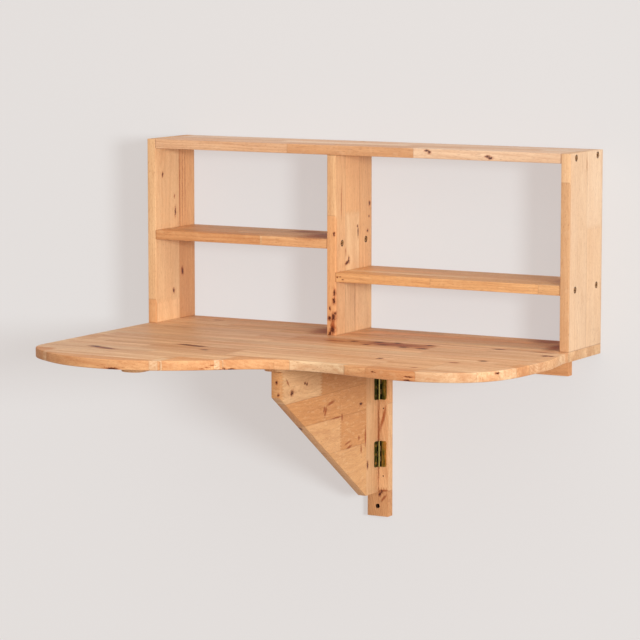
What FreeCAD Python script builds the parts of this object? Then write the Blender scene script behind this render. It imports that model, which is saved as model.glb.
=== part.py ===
import FreeCAD, Part
import os

# Fold-down wall desk, in millimetres. The wall is the plane y = 0 and the front looks
# towards -Y. x = 0 is the middle of the desk and z = 0 is half way up the wall rail.

# Boards of the shelf box
board_t = 20.0
desk_w = 1000.0
shelf_d = 160.0
box_h = 400.0
left_shelf_rise = 183.0
right_shelf_rise = 114.0
divider_x = -45.6
arris_r = 1.0

# Folding leaf: the wavy edge, as distance in from the side and depth from the wall
seam_gap = 0.5
leaf_arris_r = 2.0
edge_from_left = [
    (0.0, 566.0), (14.0, 609.0), (66.0, 652.0), (122.0, 680.0), (203.0, 694.0),
    (329.0, 669.0), (415.0, 616.0), (514.0, 545.0),
]
edge_from_right = [
    (390.0, 525.0), (280.0, 541.0), (191.0, 552.0), (99.0, 538.0), (42.0, 505.0),
    (2.0, 433.0), (-9.5, 353.0), (-13.0, 270.0),
]

# Wall rail and wall batten
rail_inset = 64.0
rail_h = 50.0
rail_t = 20.0
batten_w = 50.0
batten_t = 20.0
batten_len = 335.0
batten_x = -8.5
wall_hole_r = 5.0
rail_hole_end = 46.0
rail_hole_inner_x = 130.0
batten_hole_inset = 22.0
pilot_r = 1.5
pilot_deep = 12.0
pilot_drop = 19.0
pilot_side = 8.4

# Stiffeners under the leaf
stiffener_w = 50.0
stiffener_t = 20.0
stiffener_back_gap = 30.0
stiffener_corner_r = 20.0
stiffener_left_inset = 202.0
stiffener_middle_x = -25.0
stiffener_right_inset = 242.0
stiffener_left_reach = 592.0
stiffener_middle_reach = 444.0
stiffener_right_reach = 395.0

# Swinging bracket
bracket_t = 20.0
bracket_gap_under_stiffener = 0.5
bracket_gap_to_batten = 2.0
bracket_h = 311.5
bracket_reach = 442.0
bracket_nose_h = 52.5
bracket_face_off = 1.5
stile_w = 53.0

# Butt hinges, all of one size
hinge_h = 56.0
hinge_leaf_w = 16.0
hinge_plate_t = 1.2
hinge_corner_r = 4.0
knuckle_r = 3.0
knuckle_count = 5
knuckle_gap = 0.2
knuckle_clear = 0.3
knuckle_notch_clear = 0.5
pin_r = 1.5
pin_clear = 0.05
hinge_screw_inset = 9.0
hinge_screw_out = 10.5
bracket_hinge_drop = 54.0
bracket_hinge_pitch = 146.0
leaf_hinge_end = 100.0
leaf_hinge_middle_x = 80.0

# Screws: shank and head radius, head depth and length
carcass_screw = {"shank_r": 3.0, "head_r": 7.0, "head_h": 4.0, "length": 50.0}
strip_screw = {"shank_r": 2.0, "head_r": 4.0, "head_h": 2.4, "length": 30.0}
rail_screw = {"shank_r": 2.5, "head_r": 5.0, "head_h": 3.0, "length": 45.0}
hinge_screw = {"shank_r": 1.5, "head_r": 3.0, "head_h": 1.6, "length": 15.0}
screw_clear = 0.05
screw_tip_h = 3.0
screw_tip_r = 0.3
recess_share = 0.6
recess_w = 0.9
recess_deep = 1.2
carcass_screw_front = 30.0
carcass_screw_back = 25.0
base_screw_back = 55.0
rail_screw_end = 136.0
rail_screw_inner_x = 80.0
rail_screw_sink = 20.0
rail_sink_clear = 1.0
strip_screw_count = 3
strip_screw_end = 40.0

# Keyhole hangers in the back edges of the sides
hanger_w = 15.0
hanger_h = 46.0
hanger_t = 2.0
hanger_clear = 0.1
hanger_drop = 40.0
keyhole_r = 4.5
keyslot_r = 2.2
keyslot_len = 12.0
key_pocket_margin = 1.0
key_pocket_deep = 8.0
hanger_screw_inset = 6.0

# Levels and places that follow from the sizes above
rail_top = rail_h / 2
top_z = rail_top + board_t
box_top = top_z + box_h
half_w = desk_w / 2
inner_w = half_w - board_t
leaf_back = shelf_d + seam_gap
rail_half = half_w - rail_inset
rail_hole_outer_x = rail_half - rail_hole_end
rail_screw_outer_x = rail_half - rail_screw_end
rail_screw_xs = (-rail_screw_outer_x, -rail_screw_inner_x, rail_screw_inner_x, rail_screw_outer_x)
leaf_hinge_xs = {
    "left": leaf_hinge_end - half_w,
    "middle": leaf_hinge_middle_x,
    "right": half_w - leaf_hinge_end,
}
# Left side of each stiffener, and the depth that its front end reaches
stiffeners = {
    "left": (stiffener_left_inset - half_w, stiffener_left_reach),
    "middle": (stiffener_middle_x - stiffener_w / 2, stiffener_middle_reach),
    "right": (half_w - stiffener_right_inset - stiffener_w, stiffener_right_reach),
}
stiffener_bottom = rail_top - stiffener_t
batten_top = -rail_h / 2
batten_bottom = batten_top - batten_len
bracket_top = stiffener_bottom - bracket_gap_under_stiffener
bracket_bottom = bracket_top - bracket_h
bracket_back = batten_t + bracket_gap_to_batten
axis_off = knuckle_r + knuckle_clear
bracket_face_x = batten_x + bracket_face_off
hinge_axis_x = bracket_face_x + axis_off
hinge_axis_y = -batten_t - axis_off
upper_hinge_z = bracket_top - bracket_hinge_drop - hinge_h
lower_hinge_z = upper_hinge_z - bracket_hinge_pitch
leaf_hinge_y = -shelf_d - seam_gap / 2
leaf_hinge_z = rail_top - axis_off
divider_left = divider_x - board_t / 2
divider_right = divider_x + board_t / 2
left_shelf_z = top_z + left_shelf_rise
right_shelf_z = top_z + right_shelf_rise
top_mid_z = box_top - board_t / 2
left_shelf_mid = left_shelf_z + board_t / 2
right_shelf_mid = right_shelf_z + board_t / 2
carcass_ys = (carcass_screw_front - shelf_d, -carcass_screw_back)
base_screw_ys = (carcass_screw_front - shelf_d, -base_screw_back)
side_mid_x = half_w - board_t / 2

plus_x = FreeCAD.Vector(1, 0, 0)
plus_y = FreeCAD.Vector(0, 1, 0)
plus_z = FreeCAD.Vector(0, 0, 1)


def point(x, y, z):
    return FreeCAD.Vector(x, y, z)


def block(x_range, y_range, z_range):
    """A box between two values on each axis."""
    size = [high - low for low, high in (x_range, y_range, z_range)]
    return Part.makeBox(size[0], size[1], size[2], point(x_range[0], y_range[0], z_range[0]))


def prism(corners, direction):
    """A flat polygon pushed along a direction."""
    return Part.Face(Part.makePolygon(corners + [corners[0]])).extrude(direction)


def eased(shape, radius, chosen):
    """Rounds the edges whose bounding boxes pass the test."""
    edges = [edge for edge in shape.Edges if chosen(edge.BoundBox)]
    return shape.makeFillet(radius, edges)


def upright_front(box):
    return box.ZLength > board_t and box.YMax < arris_r - shelf_d


def level_front(box):
    return box.XLength > board_t and box.YMax < arris_r - shelf_d


# ---- Screws ----

def screw_body(size, place, direction, grow):
    """A countersunk screw with its head's face at place, grown all round for its hole."""
    shank = size["shank_r"] + grow
    head = Part.makeCone(size["head_r"] + grow, shank, size["head_h"], place, direction)
    straight = size["length"] - screw_tip_h
    body = Part.makeCylinder(shank, straight, place, direction)
    tip_at = place + direction * straight
    tip = Part.makeCone(shank, screw_tip_r + grow, screw_tip_h + grow, tip_at, direction)
    return head.fuse([body, tip]).removeSplitter()


def cross_recess(size, place, direction):
    """The two slots of a cross recess in a screw's head."""
    long_side = size["head_r"] * 2 * recess_share
    slots = []
    for slot_x, slot_y in ((long_side, recess_w), (recess_w, long_side)):
        slot = Part.makeBox(slot_x, slot_y, recess_deep, point(-slot_x / 2, -slot_y / 2, 0))
        slot.Placement = FreeCAD.Placement(place, FreeCAD.Rotation(plus_z, direction))
        slots.append(slot)
    return slots[0].fuse(slots[1])


def screws(size, places, direction):
    """One separate solid for each screw of a group."""
    solids = []
    for place in places:
        body = screw_body(size, place, direction, 0.0)
        solids.append(body.cut(cross_recess(size, place, direction)))
    return solids


def drilled(shape, size, places, direction):
    """The shape with a fitting countersunk hole for each screw."""
    for place in places:
        shape = shape.cut(screw_body(size, place, direction, screw_clear))
    return shape


def bored(shape, radius, length, places, direction):
    for place in places:
        shape = shape.cut(Part.makeCylinder(radius, length, place, direction))
    return shape


def side_screw_places(face_x, levels):
    return [point(face_x, y, z) for z in levels for y in carcass_ys]


left_side_screws = side_screw_places(-half_w, (top_mid_z, left_shelf_mid))
right_side_screws = side_screw_places(half_w, (top_mid_z, right_shelf_mid))
left_shelf_screws = side_screw_places(divider_right, (left_shelf_mid,))
right_shelf_screws = side_screw_places(divider_left, (right_shelf_mid,))
top_screws = [point(divider_x, y, box_top) for y in carcass_ys]
base_screws = [
    point(x, y, rail_top) for x in (-side_mid_x, divider_x, side_mid_x) for y in base_screw_ys
]
rail_screws = [point(x, -rail_t / 2, rail_screw_sink - rail_h / 2) for x in rail_screw_xs]


# ---- Shelf box ----

def hanger_place(side):
    """Middle of a hanger's outer face, on the back edge of one side."""
    return point(side * side_mid_x, 0, box_top - hanger_drop - hanger_h / 2)


def hanger_screw_places(side):
    middle = hanger_place(side)
    rise = hanger_h / 2 - hanger_screw_inset
    return [middle + plus_z * rise, middle - plus_z * rise]


def hanger_block(side, width, height, thickness):
    """A plate let into the back edge of a side."""
    middle = hanger_place(side)
    return block(
        (middle.x - width / 2, middle.x + width / 2),
        (-thickness, 0),
        (middle.z - height / 2, middle.z + height / 2),
    )


def keyhole(side, grow, deep):
    """The round entry and the narrow slot above it."""
    low = hanger_place(side) - plus_z * keyslot_len / 2
    entry = Part.makeCylinder(keyhole_r + grow, deep, low, -plus_y)
    slot = block(
        (low.x - keyslot_r - grow, low.x + keyslot_r + grow),
        (-deep, 0),
        (low.z, low.z + keyslot_len + grow),
    )
    return entry.fuse(slot)


def hanger(side):
    plate = hanger_block(side, hanger_w, hanger_h, hanger_t)
    plate = plate.cut(keyhole(side, 0.0, hanger_t))
    return drilled(plate, hinge_screw, hanger_screw_places(side), -plus_y)


def side_board(side, screw_places):
    outer = side * half_w
    inner = side * inner_w
    board = block((min(outer, inner), max(outer, inner)), (-shelf_d, 0), (top_z, box_top))
    board = eased(board, arris_r, upright_front)
    board = drilled(board, carcass_screw, screw_places, -plus_x * side)
    feet = [place for place in base_screws if place.x * side > inner_w]
    board = drilled(board, carcass_screw, feet, plus_z)
    seat_w = hanger_w + 2 * hanger_clear
    board = board.cut(hanger_block(side, seat_w, hanger_h + 2 * hanger_clear, hanger_t))
    board = board.cut(keyhole(side, key_pocket_margin, key_pocket_deep))
    return drilled(board, hinge_screw, hanger_screw_places(side), -plus_y)


def divider_board():
    board = block((divider_left, divider_right), (-shelf_d, 0), (top_z, box_top - board_t))
    board = eased(board, arris_r, upright_front)
    board = drilled(board, carcass_screw, left_shelf_screws, -plus_x)
    board = drilled(board, carcass_screw, right_shelf_screws, plus_x)
    board = drilled(board, carcass_screw, top_screws, -plus_z)
    feet = [place for place in base_screws if place.x == divider_x]
    return drilled(board, carcass_screw, feet, plus_z)


def top_board():
    board = block((-inner_w, inner_w), (-shelf_d, 0), (box_top - board_t, box_top))
    board = eased(board, arris_r, level_front)
    board = drilled(board, carcass_screw, left_side_screws, plus_x)
    board = drilled(board, carcass_screw, right_side_screws, -plus_x)
    return drilled(board, carcass_screw, top_screws, -plus_z)


def shelf(x_range, low_z):
    board = block(x_range, (-shelf_d, 0), (low_z, low_z + board_t))
    return eased(board, arris_r, level_front)


def left_shelf():
    board = shelf((-inner_w, divider_left), left_shelf_z)
    board = drilled(board, carcass_screw, left_side_screws, plus_x)
    return drilled(board, carcass_screw, left_shelf_screws, -plus_x)


def right_shelf():
    board = shelf((divider_right, inner_w), right_shelf_z)
    board = drilled(board, carcass_screw, right_side_screws, -plus_x)
    return drilled(board, carcass_screw, right_shelf_screws, plus_x)


def base_board():
    board = block((-half_w, half_w), (-shelf_d, 0), (rail_top, top_z))
    board = drilled(board, carcass_screw, base_screws, plus_z)
    board = drilled(board, rail_screw, rail_screws, plus_z)
    return drilled(board, hinge_screw, leaf_hinge_screws("base"), plus_z)


# ---- Folding leaf and its stiffeners ----

def leaf_outline():
    """The straight back and left side, closed by the wavy front and the full right side."""
    left = [point(inward - half_w, -depth, rail_top) for inward, depth in edge_from_left]
    right = [point(half_w - inward, -depth, rail_top) for inward, depth in edge_from_right]
    back_left = point(-half_w, -leaf_back, rail_top)
    back_right = point(half_w, -leaf_back, rail_top)
    wave = Part.BSplineCurve()
    wave.interpolate(
        Points=left + right + [back_right],
        InitialTangent=-plus_y,
        FinalTangent=plus_y,
        Scale=False,
    )
    back = Part.LineSegment(back_right, back_left)
    side = Part.LineSegment(back_left, left[0])
    return Part.Wire([back.toShape(), side.toShape(), wave.toShape()])


def leaf_rim(box):
    return box.ZLength < leaf_arris_r and box.YMin < -leaf_back - leaf_arris_r


def folding_leaf():
    leaf = Part.Face(leaf_outline()).extrude(plus_z * board_t)
    leaf = eased(leaf, leaf_arris_r, leaf_rim)
    for name in stiffeners:
        leaf = drilled(leaf, strip_screw, stiffener_screw_places(name), plus_z)
    return drilled(leaf, hinge_screw, leaf_hinge_screws("leaf"), plus_z)


def stiffener_screw_places(name):
    left_x, reach = stiffeners[name]
    first = -leaf_back - stiffener_back_gap - strip_screw_end
    step = (reach - strip_screw_end + first) / (strip_screw_count - 1)
    middle_x = left_x + stiffener_w / 2
    return [point(middle_x, first - step * i, stiffener_bottom) for i in range(strip_screw_count)]


def stiffener(name):
    left_x, reach = stiffeners[name]
    strip = block(
        (left_x, left_x + stiffener_w),
        (-reach, -leaf_back - stiffener_back_gap),
        (stiffener_bottom, rail_top),
    )
    strip = eased(
        strip, stiffener_corner_r,
        lambda box: box.ZLength > stiffener_t / 2 and box.YMax < arris_r - reach,
    )
    return drilled(strip, strip_screw, stiffener_screw_places(name), plus_z)


# ---- Wall rail and batten ----

def wall_rail():
    rail = block((-rail_half, rail_half), (-rail_t, 0), (-rail_h / 2, rail_h / 2))
    xs = (-rail_hole_outer_x, -rail_hole_inner_x, rail_hole_inner_x, rail_hole_outer_x)
    rail = bored(rail, wall_hole_r, rail_t, [point(x, 0, 0) for x in xs], -plus_y)
    rail = drilled(rail, rail_screw, rail_screws, plus_z)
    sink_r = rail_screw["head_r"] + rail_sink_clear
    mouths = [place - plus_z * rail_screw_sink for place in rail_screws]
    return bored(rail, sink_r, rail_screw_sink, mouths, plus_z)


def wall_batten():
    half = batten_w / 2
    batten = block((batten_x - half, batten_x + half), (-batten_t, 0), (batten_bottom, batten_top))
    hole_zs = (batten_top - batten_hole_inset, batten_bottom + batten_hole_inset)
    wall_holes = [point(batten_x, 0, z) for z in hole_zs]
    batten = bored(batten, wall_hole_r, batten_t, wall_holes, -plus_y)
    pilots = [
        point(hinge_axis_x + pilot_side, -batten_t, low_z - pilot_drop)
        for low_z in (upper_hinge_z, lower_hinge_z)
    ]
    batten = bored(batten, pilot_r, pilot_deep, pilots, plus_y)
    return drilled(batten, hinge_screw, batten_hinge_screws(), plus_y)


# ---- Swinging bracket ----

def bracket_stile():
    stile = block(
        (bracket_face_x - bracket_t, bracket_face_x),
        (-bracket_back - stile_w, -bracket_back),
        (bracket_bottom, bracket_top),
    )
    return drilled(stile, hinge_screw, bracket_hinge_screws(), -plus_x)


def bracket_panel():
    """The triangular panel, cut off square at its nose."""
    back = -bracket_back - stile_w
    x = bracket_face_x - bracket_t
    corners = [
        point(x, back, bracket_bottom),
        point(x, back, bracket_top),
        point(x, -bracket_reach, bracket_top),
        point(x, -bracket_reach, bracket_top - bracket_nose_h),
    ]
    return prism(corners, plus_x * bracket_t)


# ---- Butt hinges ----

def knuckle_spans(first):
    """Height ranges of every other knuckle, from the first."""
    pitch = hinge_h / knuckle_count
    spans = []
    for i in range(first, knuckle_count, 2):
        low = pitch * i + (knuckle_gap / 2 if i > 0 else 0)
        high = pitch * (i + 1) - (knuckle_gap / 2 if i < knuckle_count - 1 else 0)
        spans.append((low, high))
    return spans


def hinge_plate(side):
    """The plate of one leaf, out along +X, with its back at side * axis_off on Y."""
    back = side * axis_off
    front = back - side * hinge_plate_t
    plate = block((0, hinge_leaf_w), (min(back, front), max(back, front)), (0, hinge_h))
    return eased(
        plate, hinge_corner_r,
        lambda box: box.YLength > hinge_plate_t / 2 and box.XMin > hinge_leaf_w / 2,
    )


def hinge_screw_points(side):
    """Screw places on a leaf that stands at the origin."""
    front = side * (axis_off - hinge_plate_t)
    heights = (hinge_screw_inset, hinge_h / 2, hinge_h - hinge_screw_inset)
    return [point(hinge_screw_out, front, z) for z in heights]


def hinge_leaf(first, side):
    """A leaf with its knuckles, bored for the pin and drilled for its screws."""
    notch_r = knuckle_r + knuckle_notch_clear
    leaf = hinge_plate(side)
    for low, high in knuckle_spans(1 - first):
        room = (low - knuckle_gap, high + knuckle_gap)
        leaf = leaf.cut(block((-notch_r, notch_r), (-notch_r, notch_r), room))
    for low, high in knuckle_spans(first):
        knuckle = Part.makeCylinder(knuckle_r, high - low, plus_z * low)
        leaf = leaf.fuse(knuckle)
    leaf = leaf.cut(Part.makeCylinder(pin_r + pin_clear, hinge_h))
    return drilled(leaf.removeSplitter(), hinge_screw, hinge_screw_points(side), plus_y * side)


def hinge_pin():
    return Part.makeCylinder(pin_r, hinge_h)


def turned(shape, angle):
    """A copy of a hinge leaf turned about the pin."""
    copy = shape.copy()
    copy.rotate(point(0, 0, 0), plus_z, angle)
    return copy


upright = FreeCAD.Rotation()
lying = FreeCAD.Rotation(plus_y, plus_z, plus_x, "ZXY")


def placed(shape, place, rotation):
    copy = shape.copy()
    move = FreeCAD.Placement(place, rotation)
    copy.transformShape(move.toMatrix())
    return copy


def moved_points(points, angle, place, rotation):
    """Screw places carried along with a hinge leaf."""
    turn = FreeCAD.Placement(point(0, 0, 0), FreeCAD.Rotation(plus_z, angle))
    move = FreeCAD.Placement(place, rotation).multiply(turn)
    return [move.multVec(spot) for spot in points]


bracket_hinges = {
    "upper": point(hinge_axis_x, hinge_axis_y, upper_hinge_z),
    "lower": point(hinge_axis_x, hinge_axis_y, lower_hinge_z),
}
leaf_hinges = {
    name: point(x - hinge_h / 2, leaf_hinge_y, leaf_hinge_z) for name, x in leaf_hinge_xs.items()
}
bracket_turn = -90
flat_turn = 180


def batten_hinge_screws():
    places = []
    for place in bracket_hinges.values():
        places += moved_points(hinge_screw_points(1), 0, place, upright)
    return places


def bracket_hinge_screws():
    places = []
    for place in bracket_hinges.values():
        places += moved_points(hinge_screw_points(-1), bracket_turn, place, upright)
    return places


def leaf_hinge_screws(part):
    places = []
    for place in leaf_hinges.values():
        if part == "base":
            places += moved_points(hinge_screw_points(1), 0, place, lying)
        else:
            places += moved_points(hinge_screw_points(-1), flat_turn, place, lying)
    return places


# ---- Files ----

def save(name, shapes):
    """Writes one node: a single solid, or a group of separate ones."""
    shape = shapes[0] if len(shapes) == 1 else Part.makeCompound(shapes)
    shape.exportStep("parts/" + name + ".step")
    print(name, len(shape.Solids), "solids", round(shape.Volume), "mm3", shape.isValid())


def save_hinge(name, place, rotation, turn, fixed_name, moving_name):
    save(name + "_" + fixed_name, [placed(hinge_leaf(0, 1), place, rotation)])
    save(name + "_" + moving_name, [placed(turned(hinge_leaf(1, -1), turn), place, rotation)])
    save(name + "_pin", [placed(hinge_pin(), place, rotation)])


def main():
    os.makedirs("parts", exist_ok=True)
    save("left_side", [side_board(-1, left_side_screws)])
    save("right_side", [side_board(1, right_side_screws)])
    save("divider", [divider_board()])
    save("top_board", [top_board()])
    save("left_shelf", [left_shelf()])
    save("right_shelf", [right_shelf()])
    save("base_board", [base_board()])
    save("folding_leaf", [folding_leaf()])
    for name in stiffeners:
        save("stiffener_" + name, [stiffener(name)])
    save("wall_rail", [wall_rail()])
    save("wall_batten", [wall_batten()])
    save("bracket_panel", [bracket_panel()])
    save("bracket_stile", [bracket_stile()])
    for name, place in bracket_hinges.items():
        save_hinge(name + "_hinge", place, upright, bracket_turn, "wall_leaf", "bracket_leaf")
    for name, place in leaf_hinges.items():
        save_hinge("leaf_hinge_" + name, place, lying, flat_turn, "base_side", "leaf_side")
    save("hangers", [hanger(-1), hanger(1)])
    save("hanger_screws", screws(hinge_screw, hanger_screw_places(-1) + hanger_screw_places(1), -plus_y))
    save("left_side_screws", screws(carcass_screw, left_side_screws, plus_x))
    save("right_side_screws", screws(carcass_screw, right_side_screws, -plus_x))
    save("left_shelf_screws", screws(carcass_screw, left_shelf_screws, -plus_x))
    save("right_shelf_screws", screws(carcass_screw, right_shelf_screws, plus_x))
    save("top_screws", screws(carcass_screw, top_screws, -plus_z))
    save("base_screws", screws(carcass_screw, base_screws, plus_z))
    save("rail_screws", screws(rail_screw, rail_screws, plus_z))
    strip_places = [place for name in stiffeners for place in stiffener_screw_places(name)]
    save("stiffener_screws", screws(strip_screw, strip_places, plus_z))
    save("batten_hinge_screws", screws(hinge_screw, batten_hinge_screws(), plus_y))
    save("bracket_hinge_screws", screws(hinge_screw, bracket_hinge_screws(), -plus_x))
    leaf_places = leaf_hinge_screws("base") + leaf_hinge_screws("leaf")
    save("leaf_hinge_screws", screws(hinge_screw, leaf_places, plus_z))


main()
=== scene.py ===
import math

import bmesh
import bpy
from mathutils import Matrix, Vector


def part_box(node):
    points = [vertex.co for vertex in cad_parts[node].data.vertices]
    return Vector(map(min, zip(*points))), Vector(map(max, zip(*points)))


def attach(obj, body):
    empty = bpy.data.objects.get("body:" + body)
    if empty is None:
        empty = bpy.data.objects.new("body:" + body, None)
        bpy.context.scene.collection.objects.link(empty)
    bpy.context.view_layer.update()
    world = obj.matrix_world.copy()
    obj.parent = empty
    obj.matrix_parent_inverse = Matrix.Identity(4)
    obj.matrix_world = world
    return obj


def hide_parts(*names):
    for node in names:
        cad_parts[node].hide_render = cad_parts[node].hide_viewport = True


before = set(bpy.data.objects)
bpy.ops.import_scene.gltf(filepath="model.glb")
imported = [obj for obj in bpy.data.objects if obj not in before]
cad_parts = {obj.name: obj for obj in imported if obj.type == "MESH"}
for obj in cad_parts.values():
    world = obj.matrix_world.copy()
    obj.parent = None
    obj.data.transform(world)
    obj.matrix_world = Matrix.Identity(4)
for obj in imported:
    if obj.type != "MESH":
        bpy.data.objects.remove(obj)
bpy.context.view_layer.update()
mm = 0.001
axisIndex = {"x": 0, "y": 1, "z": 2}
axisVector = {"x": Vector((1, 0, 0)), "y": Vector((0, 1, 0)), "z": Vector((0, 0, 1))}


def metres(values):
    return tuple(value * mm for value in values)


def tint(red, green, blue):
    # screen colour, 0 to 255, to the linear colour that the nodes use
    linear = []
    for value in (red, green, blue):
        share = value / 255
        linear.append(share / 12.92 if share <= 0.04045 else ((share + 0.055) / 1.055) ** 2.4)
    return (linear[0], linear[1], linear[2], 1.0)


# camera: place in metres, angles in degrees, lens and sensor in mm

cameraSet = {
    "place": (2.9205, -5.4961, 0.8403), "down": 7.115, "turn": 29.287,
    "lens": 164.86, "sensor": 36.0,
}


def makeCamera():
    camera = bpy.data.cameras.new("camera")
    camera.sensor_width = cameraSet["sensor"]
    camera.lens = cameraSet["lens"]
    holder = bpy.data.objects.new("camera", camera)
    bpy.context.scene.collection.objects.link(holder)
    holder.location = cameraSet["place"]
    tilt = math.radians(90 - cameraSet["down"])
    holder.rotation_euler = (tilt, 0, math.radians(cameraSet["turn"]))
    bpy.context.scene.camera = holder
    print("camera set")


# short ways to add and join nodes

def feed(tree, socket, value):
    if isinstance(value, bpy.types.NodeSocket):
        tree.links.new(value, socket)
    else:
        socket.default_value = value


def feedAll(tree, sockets, values):
    for key, value in values.items():
        feed(tree, sockets[key], value)


def addNode(tree, kind, inputs=None, **settings):
    node = tree.nodes.new("ShaderNode" + kind)
    for key, value in settings.items():
        setattr(node, key, value)
    feedAll(tree, node.inputs, inputs or {})
    return node


def calc(tree, operation, *values):
    node = addNode(tree, "Math", operation=operation)
    for socket, value in zip(node.inputs, values):
        feed(tree, socket, value)
    return node.outputs[0]


def times(tree, first, second):
    return calc(tree, "MULTIPLY", first, second)


def vectorCalc(tree, operation, first, second=None):
    node = addNode(tree, "VectorMath", {0: first}, operation=operation)
    if operation == "SCALE":
        feed(tree, node.inputs["Scale"], second)
    elif second is not None:
        feed(tree, node.inputs[1], second)
    return node.outputs["Value" if operation in ("LENGTH", "DOT_PRODUCT") else "Vector"]


def stretch(tree, value, low, high, toLow=0.0, toHigh=1.0, smooth=False):
    inputs = {"Value": value, "From Min": low, "From Max": high, "To Min": toLow, "To Max": toHigh}
    kind = "SMOOTHSTEP" if smooth else "LINEAR"
    return addNode(tree, "MapRange", inputs, interpolation_type=kind).outputs["Result"]


def mixColour(tree, mode, share, first, second):
    # a Mix node has sockets of its own for each kind of value, here and in the next two
    inputs = {0: share, 6: first, 7: second}
    return addNode(tree, "Mix", inputs, data_type="RGBA", blend_type=mode).outputs[2]


def mixValue(tree, share, first, second):
    return addNode(tree, "Mix", {0: share, 2: first, 3: second}, data_type="FLOAT").outputs[0]


def mixVector(tree, share, first, second):
    return addNode(tree, "Mix", {0: share, 4: first, 5: second}, data_type="VECTOR").outputs[1]


def split(tree, vector):
    return addNode(tree, "SeparateXYZ", {"Vector": vector}).outputs


def join(tree, x, y, z):
    return addNode(tree, "CombineXYZ", {"X": x, "Y": y, "Z": z}).outputs[0]


def noise(tree, vector, scale, detail=2.0, roughness=0.5, output="Fac"):
    # scale is one number, or one for each axis
    if isinstance(scale, tuple):
        vector, scale = vectorCalc(tree, "MULTIPLY", vector, scale), 1.0
    inputs = {"Vector": vector, "Scale": scale, "Detail": detail, "Roughness": roughness}
    return addNode(tree, "TexNoise", inputs, noise_dimensions="3D").outputs[output]


def wander(tree, vector, scale, roughness, size):
    # a push to one side or another, up to half of size
    push = noise(tree, vector, scale, 2.0, roughness, "Color")
    return vectorCalc(tree, "SCALE", vectorCalc(tree, "SUBTRACT", push, (0.5, 0.5, 0.5)), size)


def cellNoise(tree, socket, place, dimensions, feature, randomness):
    inputs = {socket: place, "Scale": 1.0, "Randomness": randomness}
    return addNode(tree, "TexVoronoi", inputs, voronoi_dimensions=dimensions, feature=feature).outputs


def newGroup(name, inputs, outputs):
    # each input is the kind of its socket, or the number that the socket starts from
    group = bpy.data.node_groups.new(name, "ShaderNodeTree")
    for label, value in inputs.items():
        kind = value if isinstance(value, str) else "Float"
        socket = group.interface.new_socket(label, in_out="INPUT", socket_type="NodeSocket" + kind)
        if kind == "Float":
            socket.default_value = value
    for label, kind in outputs.items():
        group.interface.new_socket(label, in_out="OUTPUT", socket_type="NodeSocket" + kind)
    given = group.nodes.new("NodeGroupInput").outputs
    result = group.nodes.new("NodeGroupOutput").inputs
    return group, given, result


def placeGroup(tree, group, inputs):
    node = tree.nodes.new("ShaderNodeGroup")
    node.node_tree = group
    feedAll(tree, node.inputs, inputs)
    return node.outputs


# wood effects: X runs along the grain, Y across the staves, Z through the board

def makeFingerGroup():
    # finger joints: shifts a point along the grain in a zigzag that repeats across the board
    inputs = {"Vector": "Vector", "Depth": 0.010, "Pitch": 0.0064}
    tree, given, result = newGroup("fingerJoints", inputs, {"Vector": "Vector"})
    place = split(tree, given["Vector"])
    half = times(tree, given["Pitch"], 0.5)
    fold = calc(tree, "DIVIDE", calc(tree, "PINGPONG", place[1], half), half)
    along = calc(tree, "MULTIPLY_ADD", calc(tree, "SUBTRACT", fold, 0.5), given["Depth"], place[0])
    feed(tree, result["Vector"], join(tree, along, place[1], place[2]))
    return tree


# widths of the dark lines at glued joints, in metres, from full to faded, and their strength

glueLines = {
    "joint": (0.0003, 0.0011, 1.0), "stave": (0.0002, 0.0007, 0.8), "ownBlock": (0.0004, 0.0012, 0.9),
}


def glueLine(tree, gap, kind):
    full, faded, strength = glueLines[kind]
    return stretch(tree, gap, full, faded, strength, 0.0)


def makeStaveGroup():
    # glued staves cut into blocks of random length
    inputs = {
        "Vector": "Vector", "Fingered": "Vector", "Stave Width": 0.04, "Block Length": 0.35, "Seed": 0.0,
    }
    outputs = {"Block Colour": "Color", "Block Place": "Vector", "Glue Line": "Float"}
    tree, given, result = newGroup("gluedStaves", inputs, outputs)
    place = split(tree, given["Vector"])
    fingered = split(tree, given["Fingered"])[0]
    offset = times(tree, given["Seed"], 0.377)  # the seed moves the staves across the board
    stave = calc(tree, "ADD", calc(tree, "DIVIDE", place[1], given["Stave Width"]), offset)
    fromMiddle = calc(tree, "SUBTRACT", calc(tree, "FRACT", stave), 0.5)
    row = times(tree, calc(tree, "FLOOR", stave), 71.3)  # so far apart that no two rows are alike
    row = calc(tree, "MULTIPLY_ADD", given["Seed"], 13.7, row)
    station = calc(tree, "ADD", calc(tree, "DIVIDE", fingered, given["Block Length"]), row)
    cells = cellNoise(tree, "W", station, "1D", "F1", 0.8)
    borders = cellNoise(tree, "W", station, "1D", "DISTANCE_TO_EDGE", 0.8)
    jointLine = glueLine(tree, times(tree, borders["Distance"], given["Block Length"]), "joint")
    edgeShare = calc(tree, "SUBTRACT", 0.5, calc(tree, "ABSOLUTE", fromMiddle))
    staveLine = glueLine(tree, times(tree, edgeShare, given["Stave Width"]), "stave")
    centred = times(tree, fromMiddle, given["Stave Width"])
    feed(tree, result["Block Colour"], cells["Color"])
    feed(tree, result["Block Place"], join(tree, place[0], centred, place[2]))
    feed(tree, result["Glue Line"], calc(tree, "MAXIMUM", jointLine, staveLine))
    return tree


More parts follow.
